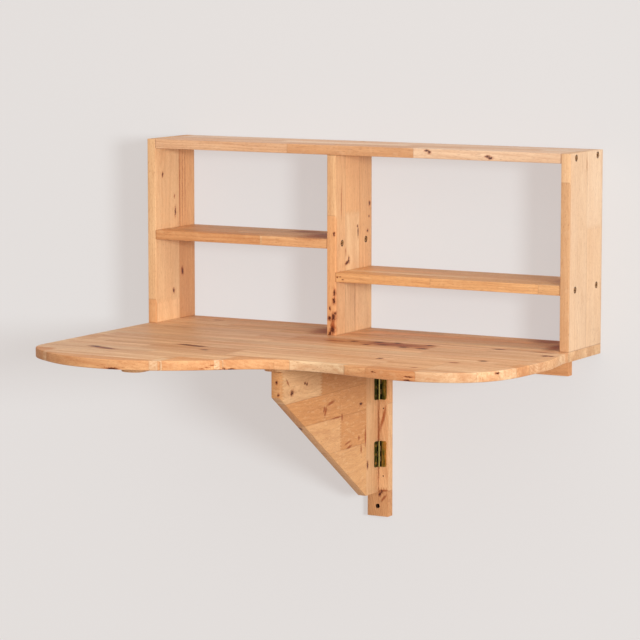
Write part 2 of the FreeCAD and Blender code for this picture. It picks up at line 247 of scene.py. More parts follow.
def makeOwnBlockGroup():
    # a block with a place and tone of its own; the choice carries its middle and its tone
    inputs = {
        "Vector": "Vector", "Middle": "Vector", "Half Size": "Vector", "Own": "Vector",
        "Choice": "Vector", "Line": 0.0,
    }
    tree, given, result = newGroup("ownBlock", inputs, {"Choice": "Vector", "Line": "Float"})
    offset = vectorCalc(tree, "ABSOLUTE", vectorCalc(tree, "SUBTRACT", given["Vector"], given["Middle"]))
    margins = split(tree, vectorCalc(tree, "SUBTRACT", given["Half Size"], offset))
    margin = calc(tree, "MINIMUM", margins[0], margins[1])
    inside = calc(tree, "GREATER_THAN", margin, 0.0)
    line = glueLine(tree, margin, "ownBlock")
    feed(tree, result["Choice"], mixVector(tree, inside, given["Choice"], given["Own"]))
    feed(tree, result["Line"], mixValue(tree, inside, given["Line"], line))
    return tree


def makeChoiceGroup():
    # takes the block with a tone of its own where there is one, and the block of chance elsewhere
    inputs = {
        "Vector": "Vector", "Choice": "Vector", "Line": 0.0,
        "Block Colour": "Color", "Block Place": "Vector", "Glue Line": 0.0,
    }
    outputs = {"Tone": "Float", "Block Colour": "Color", "Block Place": "Vector", "Glue Line": "Float"}
    tree, given, result = newGroup("blockChoice", inputs, outputs)
    tone = split(tree, given["Choice"])[2]
    chosen = calc(tree, "GREATER_THAN", tone, -0.5)
    own = addNode(tree, "TexWhiteNoise", {"Vector": given["Choice"]}, noise_dimensions="3D")
    across = vectorCalc(tree, "MULTIPLY", given["Choice"], (0.0, 1.0, 0.0))
    centred = vectorCalc(tree, "SUBTRACT", given["Vector"], across)
    feed(tree, result["Tone"], tone)
    feed(tree, result["Glue Line"], mixValue(tree, chosen, given["Glue Line"], given["Line"]))
    feed(tree, result["Block Place"], mixVector(tree, chosen, given["Block Place"], centred))
    blockColour = mixColour(tree, "MIX", chosen, given["Block Colour"], own.outputs["Color"])
    feed(tree, result["Block Colour"], blockColour)
    return tree


# where the pith of a block's tree lies from the block, and how its rings bend, in metres
# levels: how dark a ring is at points between its start and its end

ringSet = {
    "apart": 9.0, "slowScale": (4.0, 16.0, 16.0), "slowSway": 0.022, "quickScale": (15.0, 30.0, 30.0),
    "slope": 0.05, "pithAcross": 0.07, "pithThrough": (0.015, 0.09), "widthShare": (0.7, 1.7),
    "levels": ((0.12, 0.05), (0.5, 0.2), (0.78, 0.85), (0.9, 1.0)),
}


def makeRingGroup():
    # growth rings round a pith that lies off the board, in another place for each block
    inputs = {
        "Vector": "Vector", "Block Colour": "Color", "Ring Width": 0.0064,
        "Bulge": 0.0, "Lean": 0.0, "Swirl": 0.0,
    }
    tree, given, result = newGroup("growthRings", inputs, {"Rings": "Float", "Bent": "Vector"})
    chance = split(tree, given["Block Colour"])

    def spread(number, low, high):
        return stretch(tree, chance[number], 0.0, 1.0, low, high)

    away = vectorCalc(tree, "SCALE", given["Block Colour"], ringSet["apart"])
    moved = vectorCalc(tree, "ADD", given["Vector"], away)
    slow = wander(tree, moved, ringSet["slowScale"], 0.55, ringSet["slowSway"])
    quick = wander(tree, moved, ringSet["quickScale"], 0.5, given["Swirl"])
    along = split(tree, given["Vector"])[0]
    slope = calc(tree, "ADD", given["Lean"], spread(2, -ringSet["slope"], ringSet["slope"]))
    lean = join(tree, 0.0, times(tree, along, slope), 0.0)
    sway = vectorCalc(tree, "ADD", lean, vectorCalc(tree, "ADD", slow, quick))
    swayed = split(tree, vectorCalc(tree, "ADD", given["Vector"], sway))
    pithAcross = spread(0, -ringSet["pithAcross"], ringSet["pithAcross"])
    offAcross = calc(tree, "SUBTRACT", swayed[1], pithAcross)
    offThrough = calc(tree, "SUBTRACT", swayed[2], spread(1, *ringSet["pithThrough"]))
    reach = vectorCalc(tree, "LENGTH", join(tree, 0.0, offAcross, offThrough))
    bulged = calc(tree, "ADD", reach, given["Bulge"])
    width = times(tree, given["Ring Width"], spread(1, *ringSet["widthShare"]))
    turn = calc(tree, "FRACT", calc(tree, "DIVIDE", bulged, width))
    ramp = addNode(tree, "ValToRGB", {"Fac": turn})
    stops = ramp.color_ramp.elements
    stops[0].color, stops[1].color = (0.5, 0.5, 0.5, 1), (0.6, 0.6, 0.6, 1)
    for position, level in ringSet["levels"]:
        stops.new(position).color = (level, level, level, 1)
    feed(tree, result["Rings"], ramp.outputs["Color"])
    feed(tree, result["Bent"], vectorCalc(tree, "ADD", moved, sway))
    return tree


# bands, streaks, dashes, fibres and open pores drawn out along the grain, flecks and clouds:
# the scale for each axis, the detail, and the noise from which each starts and is full

threads = {
    "Belts": ((1.4, 30.0, 30.0), 3.0, 0.42, 0.62),
    "Bands": ((2.2, 60.0, 60.0), 3.0, 0.36, 0.66),
    "Streaks": ((5.5, 190.0, 190.0), 3.0, 0.36, 0.66),
    "Dashes": ((20.0, 430.0, 430.0), 1.0, 0.60, 0.70),
    "Fibres": ((40.0, 1300.0, 1300.0), 2.0, 0.30, 0.70),
    "Pores": ((95.0, 1900.0, 1300.0), 1.0, 0.60, 0.70),
    "Flecks": ((60.0, 230.0, 60.0), 1.0, 0.58, 0.70),
    "Clouds": ((7.0, 28.0, 28.0), 2.0, 0.30, 0.70),
}


def makeFibreGroup():
    tree, given, result = newGroup("fibres", {"Vector": "Vector"}, {label: "Float" for label in threads})
    for label, (scales, detail, low, high) in threads.items():
        value = noise(tree, given["Vector"], scales, detail, 0.55)
        feed(tree, result[label], stretch(tree, value, low, high))
    return tree


def makeMarkGroup():
    # one knot, crack or stain: how far a point is from it, where 1 is its rim
    inputs = {"Vector": "Vector", "Centre": "Vector", "Reach": "Vector", "Turn": 0.0, "Nearest": 9.0}
    tree, given, result = newGroup("knotMark", inputs, {"Nearest": "Float"})
    offset = vectorCalc(tree, "SUBTRACT", given["Vector"], given["Centre"])
    turn = {"Vector": offset, "Angle": given["Turn"]}
    turned = addNode(tree, "VectorRotate", turn, rotation_type="Z_AXIS").outputs[0]
    far = vectorCalc(tree, "LENGTH", vectorCalc(tree, "DIVIDE", turned, given["Reach"]))
    feed(tree, result["Nearest"], calc(tree, "MINIMUM", far, given["Nearest"]))
    return tree


# how strongly each effect darkens the wood, and the colour that it is multiplied by; the stain share and
# colour darken real stains and painted shade alike

woodShades = {
    "pores": (0.4, (150, 95, 60)), "glue": (0.28, (150, 98, 64)), "endGrain": (0.2, (240, 222, 212)),
    "stain": (0.8, (180, 110, 62)), "halo": (0.55, (190, 120, 82)),
}
knotCore = (84, 38, 22)
darkThreads = {"Bands": 0.22, "Streaks": 0.26, "Dashes": 0.3, "Fibres": 0.08}
cloudShare, deepShare = 0.3, 0.6
ringShares = (0.1, 0.36)
brightness = (0.93, 1.04)

# knots, and stains with painted shade: distances are shares of their reach, from full to faded; cells hold
# the chance knots

knotSet = {
    "swell": 0.012, "swellFade": -1.1, "cells": (9.0, 22.0, 3.0), "chance": 0.25, "size": 0.07, "none": 9.0,
    "flakeScale": 420.0, "flakes": 2.4, "stainAndShadeFlakes": 0.8,
    "core": (0.55, 0.95), "halo": (0.8, 1.7), "stain": (0.3, 1.25),
}


def makeWoodGroup(rings, fibres):
    # oiled wood: block tone, rings and fibres, knots and stains, glue lines and end grain
    inputs = {
        "Vector": "Vector", "Block Place": "Vector", "Block Colour": "Color", "Glue Line": 0.0, "Tone": -1.0,
        "Mark": 9.0, "Stain And Shade": 9.0, "End Grain": 0.0, "Pale": "Color", "Warm": "Color", "Dark": "Color",
        "Variety": 1.0, "Pin Knots": 0.5, "Grain": 1.0, "Lean": 0.0, "Swirl": 0.0, "Belts": 0.0,
        "Flecks": 0.25,
    }
    tree, given, result = newGroup("oiledWood", inputs, {"Color": "Color", "Roughness": "Float"})

    def shaded(colour, effect, mask):
        share, shade = woodShades[effect]
        return mixColour(tree, "MULTIPLY", times(tree, mask, share), colour, tint(*shade))

    # the rings swell round a knot
    fade = calc(tree, "EXPONENT", times(tree, given["Mark"], knotSet["swellFade"]))
    ring = placeGroup(tree, rings, {
        "Vector": given["Block Place"], "Block Colour": given["Block Colour"], "Lean": given["Lean"],
        "Bulge": times(tree, fade, knotSet["swell"]), "Swirl": given["Swirl"],
    })
    thread = placeGroup(tree, fibres, {"Vector": ring["Bent"]})
    chance = split(tree, given["Block Colour"])
    # small knots that come by chance
    cells = vectorCalc(tree, "MULTIPLY", given["Vector"], knotSet["cells"])
    field = cellNoise(tree, "Vector", cells, "3D", "F1", 1.0)
    scarce = times(tree, given["Pin Knots"], knotSet["chance"])
    absent = calc(tree, "GREATER_THAN", split(tree, field["Color"])[0], scarce)
    knotFar = calc(tree, "DIVIDE", field["Distance"], knotSet["size"])
    knotFar = calc(tree, "MULTIPLY_ADD", absent, knotSet["none"], knotFar)
    # knots, the darker wood round them, and stains and painted shade all have flaky rims
    flakes = calc(tree, "SUBTRACT", noise(tree, given["Vector"], knotSet["flakeScale"], 3.0, 0.65), 0.5)
    knotFar = calc(tree, "MINIMUM", given["Mark"], knotFar)
    knotFar = calc(tree, "MULTIPLY_ADD", flakes, knotSet["flakes"], knotFar)
    stainAndShadeFar = calc(tree, "MULTIPLY_ADD", flakes, knotSet["stainAndShadeFlakes"], given["Stain And Shade"])
    core, halo, stain = [
        stretch(tree, far, *knotSet[label], 1.0, 0.0, True)
        for label, far in (("core", knotFar), ("halo", knotFar), ("stain", stainAndShadeFar))]
    # colour: 0 is the pale tone, 1 the warm one, and above 1 the dark one comes in
    ownTone = calc(tree, "GREATER_THAN", given["Tone"], -0.5)
    tone = mixValue(tree, ownTone, times(tree, chance[0], given["Variety"]), given["Tone"])
    colour = mixColour(tree, "MIX", calc(tree, "MINIMUM", tone, 1.0), given["Pale"], given["Warm"])
    deep = calc(tree, "MAXIMUM", calc(tree, "SUBTRACT", tone, 1.0), 0.0)
    colour = mixColour(tree, "MIX", times(tree, deep, deepShare), colour, given["Dark"])
    colour = mixColour(tree, "MIX", times(tree, thread["Clouds"], cloudShare), colour, given["Warm"])
    ringShare = times(tree, ring["Rings"], stretch(tree, chance[2], 0.0, 1.0, *ringShares))
    colour = mixColour(tree, "MIX", times(tree, ringShare, given["Grain"]), colour, given["Dark"])
    for label, share in darkThreads.items():
        shown = times(tree, times(tree, thread[label], share), given["Grain"])
        colour = mixColour(tree, "MIX", shown, colour, given["Dark"])
    for label, other in (("Belts", "Dark"), ("Flecks", "Pale")):
        shown = times(tree, thread[label], given[label])
        colour = mixColour(tree, "MIX", shown, colour, given[other])
    colour = shaded(shaded(colour, "pores", thread["Pores"]), "glue", given["Glue Line"])
    colour = vectorCalc(tree, "SCALE", colour, stretch(tree, chance[1], 0.0, 1.0, *brightness))
    for effect, mask in (("endGrain", given["End Grain"]), ("stain", stain), ("halo", halo)):
        colour = shaded(colour, effect, mask)
    feed(tree, result["Color"], mixColour(tree, "MIX", core, colour, tint(*knotCore)))
    # gloss: open grain and board ends are duller
    openGrain = calc(tree, "ADD", thread["Fibres"], thread["Pores"])
    rough = stretch(tree, openGrain, 0.0, 2.0, 0.42, 0.62)
    feed(tree, result["Roughness"], calc(tree, "MULTIPLY_ADD", given["End Grain"], 0.12, rough))
    return tree


def makeReliefGroup():
    # sanded wood is never quite flat: raised fibres, open pores and slow waves
    tree, given, result = newGroup("sandedRelief", {"Vector": "Vector"}, {"Height": "Float"})
    fibre = noise(tree, given["Vector"], (40.0, 1300.0, 1300.0), 1.0)
    pore = noise(tree, given["Vector"], (95.0, 1900.0, 1300.0), 0.0)
    wave = noise(tree, given["Vector"], (9.0, 60.0, 60.0), 1.0)
    height = calc(tree, "MULTIPLY_ADD", stretch(tree, pore, 0.6, 0.7), -0.6, times(tree, fibre, 0.5))
    feed(tree, result["Height"], calc(tree, "MULTIPLY_ADD", wave, 1.5, height))
    return tree


fingerGroup = makeFingerGroup()
staveGroup = makeStaveGroup()
ownBlockGroup = makeOwnBlockGroup()
choiceGroup = makeChoiceGroup()
markGroup = makeMarkGroup()
woodGroup = makeWoodGroup(makeRingGroup(), makeFibreGroup())
reliefGroup = makeReliefGroup()
print("wood effects built")


def startMaterial(name):
    material = bpy.data.materials.new(name)
    material.use_nodes = True
    return material, material.node_tree, material.node_tree.nodes["Principled BSDF"]


# what a board's wood has unless its own settings say otherwise; sizes in mm
# marks, and stains that hold real stains and painted shade in corners and gaps: along, across, through, then
# their reach the same way, then any turn in degrees
# blocks: from and to along, from and to across, then the tone, 0 pale, 1 warm, 2 dark
# lineAt: the board end or ends at which endLine paints shade into the joint
woodSet = {
    "staveWidth": 40, "blockLength": 330, "pinKnots": 0.0, "variety": 1.0, "ragged": 5, "grain": 1.0,
    "lean": 0.0, "swirl": 0, "pale": (241, 208, 163), "warm": (229, 174, 123), "dark": (172, 106, 62),
    "marks": (), "stainsAndShade": (), "blocks": (), "bump": 0.4, "shine": 0.3, "belts": 0.0, "flecks": 0.08,
    "endLine": 0.0, "endLineWidth": (0.8, 2.4), "lineAt": "both",
}


def nearestOf(tree, vector, spots):
    nearest = 9.0
    for spot in spots:
        turn = spot[6] if len(spot) > 6 else 0
        nearest = placeGroup(tree, markGroup, {
            "Vector": vector, "Centre": metres(spot[0:3]), "Reach": metres(spot[3:6]),
            "Turn": math.radians(turn), "Nearest": nearest,
        })["Nearest"]
    return nearest


def makeWood(name, low, high, look):
    own = {**woodSet, **look}
    middle = (low + high) / 2
    material, tree, shader = startMaterial(name)
    along, across = axisVector[own["along"]], axisVector[own["across"]]
    through = along.cross(across)
    turn = Matrix((along, across, through)).to_euler("XYZ")
    place = addNode(tree, "TexCoord").outputs
    mapped = addNode(tree, "Mapping", {
        "Vector": place["Object"], "Rotation": tuple(turn), "Location": (0, 0, -through.dot(middle)),
    }).outputs[0]
    fingered = placeGroup(tree, fingerGroup, {"Vector": mapped})["Vector"]
    block = placeGroup(tree, staveGroup, {
        "Vector": mapped, "Fingered": fingered, "Seed": own["seed"],
        "Stave Width": own["staveWidth"] * mm, "Block Length": own["blockLength"] * mm,
    })
    choice, line = (0, 0, -1), 0.0
    for alongLow, alongHigh, acrossLow, acrossHigh, level in own["blocks"]:
        spot = ((alongLow + alongHigh) / 2 * mm, (acrossLow + acrossHigh) / 2 * mm)
        found = placeGroup(tree, ownBlockGroup, {
            "Vector": fingered, "Middle": (*spot, 0), "Own": (*spot, level), "Choice": choice, "Line": line,
            "Half Size": metres(((alongHigh - alongLow) / 2, (acrossHigh - acrossLow) / 2, 0)),
        })
        choice, line = found["Choice"], found["Line"]
    block = placeGroup(tree, choiceGroup, {
        "Vector": mapped, "Choice": choice, "Line": line,
        **{label: block[label] for label in ("Glue Line", "Block Colour", "Block Place")},
    })
    # painted shade: a dark line in the joint where the board ends against its neighbours
    reach = abs(along.dot(high - low)) / 2
    fromMiddle = calc(tree, "SUBTRACT", split(tree, mapped)[0], along.dot(middle))
    if own["lineAt"] == "both":
        fromMiddle = times(tree, calc(tree, "ABSOLUTE", fromMiddle), -1.0)
    fromEnd = calc(tree, "ADD", reach, fromMiddle)
    endLine = stretch(tree, fromEnd, *metres(own["endLineWidth"]), own["endLine"], 0.0)
    # knots, stains and painted shade have a ragged outline
    ragged = mapped
    for scale, share in ((80.0, 0.7), (330.0, 0.5)):
        push = wander(tree, mapped, scale, 0.6, own["ragged"] * share * mm)
        ragged = vectorCalc(tree, "ADD", ragged, push)
    facing = split(tree, place["Normal"])[axisIndex[own["along"]]]
    # the painted shade of the joint goes in with the glue lines
    wood = placeGroup(tree, woodGroup, {
        "Vector": mapped, "Block Place": block["Block Place"], "Block Colour": block["Block Colour"],
        "Glue Line": calc(tree, "MAXIMUM", block["Glue Line"], endLine), "Tone": block["Tone"],
        "End Grain": stretch(tree, calc(tree, "ABSOLUTE", facing), 0.6, 0.9, 0.0, 1.0, True),
        "Mark": nearestOf(tree, ragged, own["marks"]), "Stain And Shade": nearestOf(tree, ragged, own["stainsAndShade"]),
        "Pin Knots": own["pinKnots"], "Swirl": own["swirl"] * mm,
        **{label: tint(*own[label.lower()]) for label in ("Pale", "Warm", "Dark")},
        **{label: own[label.lower()] for label in ("Variety", "Grain", "Lean", "Belts", "Flecks")},
    })
    height = placeGroup(tree, reliefGroup, {"Vector": mapped})["Height"]
    relief = {"Height": height, "Strength": 0.4, "Distance": own["bump"] * mm}
    feedAll(tree, shader.inputs, {
        "Base Color": wood["Color"], "Roughness": wood["Roughness"],
        "Normal": addNode(tree, "Bump", relief).outputs["Normal"], "Specular IOR Level": own["shine"],
    })
    return material


def makeBoreShade():
    # the inside of a drilled hole: painted shade, near black, with the rough look of end grain
    material, tree, shader = startMaterial("boreShade")
    torn = noise(tree, addNode(tree, "TexCoord").outputs["Object"], 900.0, 3.0, 0.6)
    colour = mixColour(tree, "MIX", stretch(tree, torn, 0.35, 0.7), tint(38, 20, 12), tint(84, 48, 28))
    rough = stretch(tree, torn, 0.3, 0.7, 0.7, 0.95)
    feedAll(tree, shader.inputs, {"Base Color": colour, "Roughness": rough})
    return material


# modelling steps that several pieces share

def clearSelection():
    if bpy.context.object and bpy.context.object.mode != "OBJECT":
        bpy.ops.object.mode_set(mode="OBJECT")
    bpy.ops.object.select_all(action="DESELECT")


def pick(piece):
    clearSelection()
    piece.select_set(True)
    bpy.context.view_layer.objects.active = piece


def nameNew(name):
    # the primitive just added gets its name, and its place goes into its mesh
    piece = bpy.context.object
    piece.name = name
    bpy.ops.object.transform_apply(location=True, rotation=True, scale=True)
    return piece


def openMesh(kind="VERT", action="SELECT"):
    bpy.ops.object.mode_set(mode="EDIT")
    bpy.ops.mesh.select_mode(type=kind)
    bpy.ops.mesh.select_all(action=action)


def closeMesh(outwards=False):
    if outwards:
        bpy.ops.mesh.select_all(action="SELECT")
        bpy.ops.mesh.normals_make_consistent(inside=False)
    bpy.ops.object.mode_set(mode="OBJECT")


def addBlock(name, low, high):
    clearSelection()
    middle = [(a + b) / 2 for a, b in zip(low, high)]
    size = [b - a for a, b in zip(low, high)]
    bpy.ops.mesh.primitive_cube_add(size=1, location=middle, scale=size)
    return nameNew(name)


def bevelEdges(piece, wanted, width, steps):
    pick(piece)
    openMesh("EDGE", "DESELECT")
    mesh = bmesh.from_edit_mesh(piece.data)
    for edge in mesh.edges:
        edge.select_set(bool(wanted(edge)))
    bmesh.update_edit_mesh(piece.data)
    bpy.ops.mesh.bevel(offset=width, segments=steps, affect="EDGES")
    closeMesh()


def runsAlong(edge, axis):
    run = edge.verts[1].co - edge.verts[0].co
    return abs(run[axisIndex[axis]]) > 0.99 * run.length


def atPlane(edge, axis, level):
    return all(abs(vert.co[axisIndex[axis]] - level) < 0.05 * mm for vert in edge.verts)


def cutWith(piece, cutter):
    pick(piece)
    modifier = piece.modifiers.new("cut", "BOOLEAN")
    modifier.operation = "DIFFERENCE"
    modifier.solver = "EXACT"
    modifier.object = cutter
    bpy.ops.object.modifier_apply(modifier=modifier.name)
    bpy.data.objects.remove(cutter)


def joinPieces(name, parts):
    clearSelection()
    for part in parts:
        part.select_set(True)
    bpy.context.view_layer.objects.active = parts[0]
    if len(parts) > 1:
        bpy.ops.object.join()
    parts[0].name = name
    return parts[0]


def turnedBar(name, steps, sides):
    # a bar along Z from radius and level pairs, grown by extruding and resizing its end face
    clearSelection()
    radius, level = steps[0]
    bpy.ops.mesh.primitive_circle_add(
        vertices=sides, radius=radius, fill_type="NGON", location=(0, 0, level))
    piece = nameNew(name)
    openMesh("FACE")
    for (oldRadius, oldLevel), (radius, level) in zip(steps, steps[1:]):
        bpy.ops.mesh.extrude_region_move(TRANSFORM_OT_translate={"value": (0, 0, level - oldLevel)})
        share = radius / oldRadius
        bpy.ops.transform.resize(value=(share, share, 1), center_override=(0, 0, level))
    closeMesh(outwards=True)
    return piece


def copyPiece(master, name, matrix):
    twin = master.copy()
    twin.data = master.data.copy()
    twin.name = name
    bpy.context.scene.collection.objects.link(twin)
    twin.data.transform(matrix)
    return twin


def finishPiece(piece, material, body, nodes):
    pick(piece)
    bpy.ops.object.shade_smooth_by_angle(angle=math.radians(35))
    if material:
        piece.data.materials.clear()
        piece.data.materials.append(material)
    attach(piece, body)
    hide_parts(*nodes)


# screws: radii, depths and lengths in mm; heads sit a little below the wood

screwSizes = {
    "carcass": {
        "head": 7.0, "shank": 3.0, "headDeep": 4.0, "length": 50.0, "sunk": 0.8, "cross": 3.9, "rim": 2.3},
    "strip": {
        "head": 4.0, "shank": 2.0, "headDeep": 2.4, "length": 30.0, "sunk": 0.4, "cross": 2.6, "rim": 0.7},
    "rail": {
        "head": 5.0, "shank": 2.5, "headDeep": 3.0, "length": 45.0, "sunk": 0.0, "cross": 3.2, "rim": 0.9},
}
# what all screws share: the head's lip and sloping rim, the point, the cross, and turns in degrees
screwSet = {
    "sides": 24, "lip": 0.25, "rimDrop": 0.12, "rimShare": 0.8, "point": 3.0, "tip": 0.4, "short": 0.6,
    "crossWide": 0.8, "crossDeep": 2.0, "turn": 37, "firstTurn": 15, "holeWider": 0.08, "holeMouth": 1.5,
}
backFront = (-130, -25)  # where the pairs of screws stand, from the wall
screwRows = [
    {"name": "leftSideScrews", "node": "left_side_screws", "kind": "carcass", "into": (1, 0, 0),
     "heads": [(-500, y, z) for z in (435, 238) for y in backFront]},
    {"name": "rightSideScrews", "node": "right_side_screws", "kind": "carcass", "into": (-1, 0, 0),
     "heads": [(500, y, z) for z in (435, 169) for y in backFront]},
    {"name": "leftShelfScrews", "node": "left_shelf_screws", "kind": "carcass", "into": (-1, 0, 0),
     "heads": [(-35.6, y, 238) for y in backFront]},
    {"name": "rightShelfScrews", "node": "right_shelf_screws", "kind": "carcass", "into": (1, 0, 0),
     "heads": [(-55.6, y, 169) for y in backFront]},
    {"name": "topScrews", "node": "top_screws", "kind": "carcass", "into": (0, 0, -1),
     "heads": [(-45.6, y, 445) for y in backFront]},
    {"name": "baseScrews", "node": "base_screws", "kind": "carcass", "into": (0, 0, 1),
     "heads": [(x, y, 25) for x in (-490, -45.6, 490) for y in (-130, -55)]},
    {"name": "railScrews", "node": "rail_screws", "kind": "rail", "into": (0, 0, 1),
     "heads": [(x, -10, -5) for x in (-300, -80, 80, 300)]},
    {"name": "stiffenerScrews", "node": "stiffener_screws", "kind": "strip", "into": (0, 0, 1),
     "heads": [(x, -230.5 - (reach - 270.5) * share, 5)
               for x, reach in ((-273, 592), (-25, 444), (233, 395)) for share in (0, 0.5, 1)]},
]


def modelScrew(kind, wider=0.0, mouth=0.0):
    # a cutter for the hole is a little wider, and its mouth is how far the head's rim is carried up
    size = screwSizes[kind]
    head, shank, face = size["head"] + wider, size["shank"] + wider, -size["sunk"]
    end = face - size["length"] + screwSet["short"]
    steps = [(head, face - screwSet["lip"]), (shank, face - size["headDeep"]),
             (shank, end + screwSet["point"]), (screwSet["tip"] + wider, end)]
    if mouth:
        steps.insert(0, (head, face + mouth))
    else:
        # the face of the head, with a rim that slopes to its edge
        rimEdge = head - size["rim"] * screwSet["rimShare"]
        steps = [(head - size["rim"], face), (rimEdge, face - screwSet["rimDrop"])] + steps
    return turnedBar("screwBody", [metres(step) for step in steps], screwSet["sides"])


def makeScrew(kind, bronzed, blackenedAndShaded):
    screw = modelScrew(kind)
    top, cross, half = -screwSizes[kind]["sunk"], screwSizes[kind]["cross"], screwSet["crossWide"]
    for wide, deep in ((cross, half), (half, cross)):
        corners = (-wide, -deep, top - screwSet["crossDeep"]), (wide, deep, top + 1)
        cutWith(screw, addBlock("crossSlot", *map(metres, corners)))
    screw.data.materials.append(blackenedAndShaded)
    screw.data.materials.append(bronzed)
    # the rim, the cross and the shank take the blackened steel, which also paints shade in the cross and
    # round the rim; the face of the head takes the bronzed
    for face in screw.data.polygons:
        face.material_index = 1 if face.normal.z > 0.9 and face.center.z > (top - 0.02) * mm else 0
    return screw


def screwMatrix(head, into, count):
    turn = Vector(into).to_track_quat("-Z", "Y").to_matrix().to_4x4()
    spin = Matrix.Rotation(math.radians(screwSet["turn"] * count + screwSet["firstTurn"]), 4, "Z")
    return Matrix.Translation(Vector(metres(head))) @ turn @ spin


def screwsThrough(low, high):
    # every screw that goes into or through this board: one of three points on it lies inside
    found = []
    for row in screwRows:
        size = screwSizes[row["kind"]]
        for head in row["heads"]:
            start, step = Vector(metres(head)), Vector(row["into"]) * mm
            spots = [start + step * way for way in (1, 19, size["length"] - 2)]
            if any(all(low[i] < spot[i] < high[i] for i in range(3)) for spot in spots):
                found.append((row, head))
    return found


def drillScrewHoles(piece, low, high):
    cutters = []
    for row, head in screwsThrough(low, high):
        mouth = screwSizes[row["kind"]]["sunk"] + screwSet["holeMouth"]
        cutter = modelScrew(row["kind"], screwSet["holeWider"], mouth)
        cutter.data.transform(screwMatrix(head, row["into"], 0))
        cutters.append(cutter)
    cutWith(piece, joinPieces("holeCutter", cutters))


def cutRoundHoles(piece, holes):
    # round holes: middle of the mouth, direction, radius and depth in mm
    cutters = []
    for middle, into, radius, deep in holes:
        cutter = turnedBar("roundCutter", [metres((radius, 1)), metres((radius, -deep))], 32)
        cutter.data.transform(screwMatrix(middle, into, 0))
        cutters.append(cutter)
    cutWith(piece, joinPieces("holeCutter", cutters))


def shadeBores(piece, holes, material):
    # the walls and floors of round holes take the painted shade
    piece.data.materials.append(material)
    for face in piece.data.polygons:
        for middle, into, radius, deep in holes:
            offset = face.center - Vector(metres(middle))
            inward = offset.dot(Vector(into))
            if (offset - Vector(into) * inward).length < radius * 1.02 * mm and inward > 0.1 * mm:
                face.material_index = 1


# boards: each stands where its CAD node does

# what a board has unless its own settings say otherwise; ease is the width of a bevel in mm
# sharp: the ends that meet a neighbour and so keep their edges
boardSet = {"across": "y", "frontEase": 1.2, "ease": 0.6, "sharp": "both", "endLine": 1.6}
leftSide = {
    "name": "leftSideBoard", "node": "left_side", "along": "z", "seed": 2, "staveWidth": 45,
    "sharp": "foot", "endLine": 1.8, "lineAt": "foot", "swirl": 8, "grain": 0.6,
    "blocks": ((30, 228, -64, 10, 1.75), (228, 460, -64, 10, 1.05), (92, 460, -170, -64, 0.45),
               (30, 92, -170, -156, 1.35), (30, 80, -156, -112, 0.9), (30, 92, -156, -64, 0.45)),
    "marks": ((367, -131, -10, 6, 3, 5), (282, -80, -10, 11, 2.6, 5), (109, -88, -10, 6, 4, 5),
              (148, -51, -10, 8, 3, 5, 10)),
    "stainsAndShade": ((151, -53, -10, 11, 6, 6), (316, -83, -10, 6, 3, 5), (330, -61.5, -10, 110, 1.8, 6),
               (340, -50, -10, 100, 1.4, 6), (345, -39.5, -10, 100, 1.4, 6)),
}
rightSide = {
    "name": "rightSideBoard", "node": "right_side", "along": "z", "seed": 5, "staveWidth": 52,
    "sharp": "foot", "lineAt": "foot", "variety": 0.5, "swirl": 12, "grain": 0.45, "pale": (250, 223, 192),
    "warm": (231, 188, 143),
    "blocks": ((30, 382, -170, -157, 1.4), (382, 460, -170, -157, 0.85), (30, 460, -157, -76, 0.35),
               (290, 460, -76, 10, 0.1), (30, 290, -76, 10, 0.5)),
    "stainsAndShade": ((418, -79, -10, 18, 2, 6),),
}
divider = {
    "name": "dividerBoard", "node": "divider", "along": "z", "seed": 9, "staveWidth": 43, "frontEase": 1.0,
    "ease": 0.4, "swirl": 6, "grain": 0.6,
    "blocks": ((293, 460, -170, -153, 0.5), (30, 293, -170, -153, 1.1), (30, 460, -153, -117, 0.55),
               (30, 165, -117, -74, 0.25), (165, 300, -117, -56, 0.1), (300, 460, -117, -56, 0.7),
               (30, 165, -74, 10, 0.4), (165, 460, -56, 10, 0.8)),
    "marks": ((314, -10, -10, 5, 4, 5), (286, -12, -10, 2.4, 2.4, 5), (269, -63, -10, 3.4, 2.6, 5),
              (256, -61, -10, 11, 2.5, 5), (256, -18.6, -10, 3.4, 3, 5), (195, -109, -10, 4, 10, 5, 20),
              (201, -101, -10, 7, 3, 5, 10), (260, -160, -6.8, 5, 4, 2.4), (136, -160, -7.6, 8, 5, 2.8),
              (119, -160, -6.6, 8, 5, 3.8), (103, -160, 2.7, 5, 4, 2.4), (85, -160, -5.6, 9, 9, 5),
              (82, -160, 4, 5, 4, 4), (93, -160, -9, 4, 7, 2.5), (57, -160, -3.6, 9, 10, 5.6),
              (50, -160, 3, 5, 4, 4)),
    "stainsAndShade": ((66, -160, -4, 20, 12, 7), (326, -134, -10, 44, 2.4, 6), (218, -114, -10, 12, 1.6, 5),
               (110, -74, -10, 60, 1.4, 6)),
}
topPanel = {
    "name": "topPanel", "node": "top_board", "along": "x", "seed": 4, "staveWidth": 40, "blockLength": 300,
    "grain": 0.8, "shine": 1.0, "pale": (254, 226, 194),
    "blocks": ((-157, 142, -170, -120, 1.1), (142, 490, -170, -120, 0.15), (-490, -157, -170, -120, 0.7)),
    "marks": ((178, -160, 5.6, 6, 5, 2.4), (184, -160, 2.6, 4, 5, 3.4), (317, -160, -1.6, 6, 6, 3.2),
              (323, -160, -5.2, 6, 6, 2.6)),
}
leftShelf = {
    "name": "leftShelfBoard", "node": "left_shelf", "along": "x", "seed": 7, "staveWidth": 42, "shine": 0.1,
    "blocks": ((-490, -221, -170, -120, 1.3), (-221, -50, -170, -120, 0.7), (-223, -219, -170, -120, 0.0)),
    # both stains are painted shade: the divider's shadow at the right end, widening towards the back
    "stainsAndShade": ((-98, -80, 10, 54, 100, 12), (-172, -34, 10, 50, 30, 12)),
}
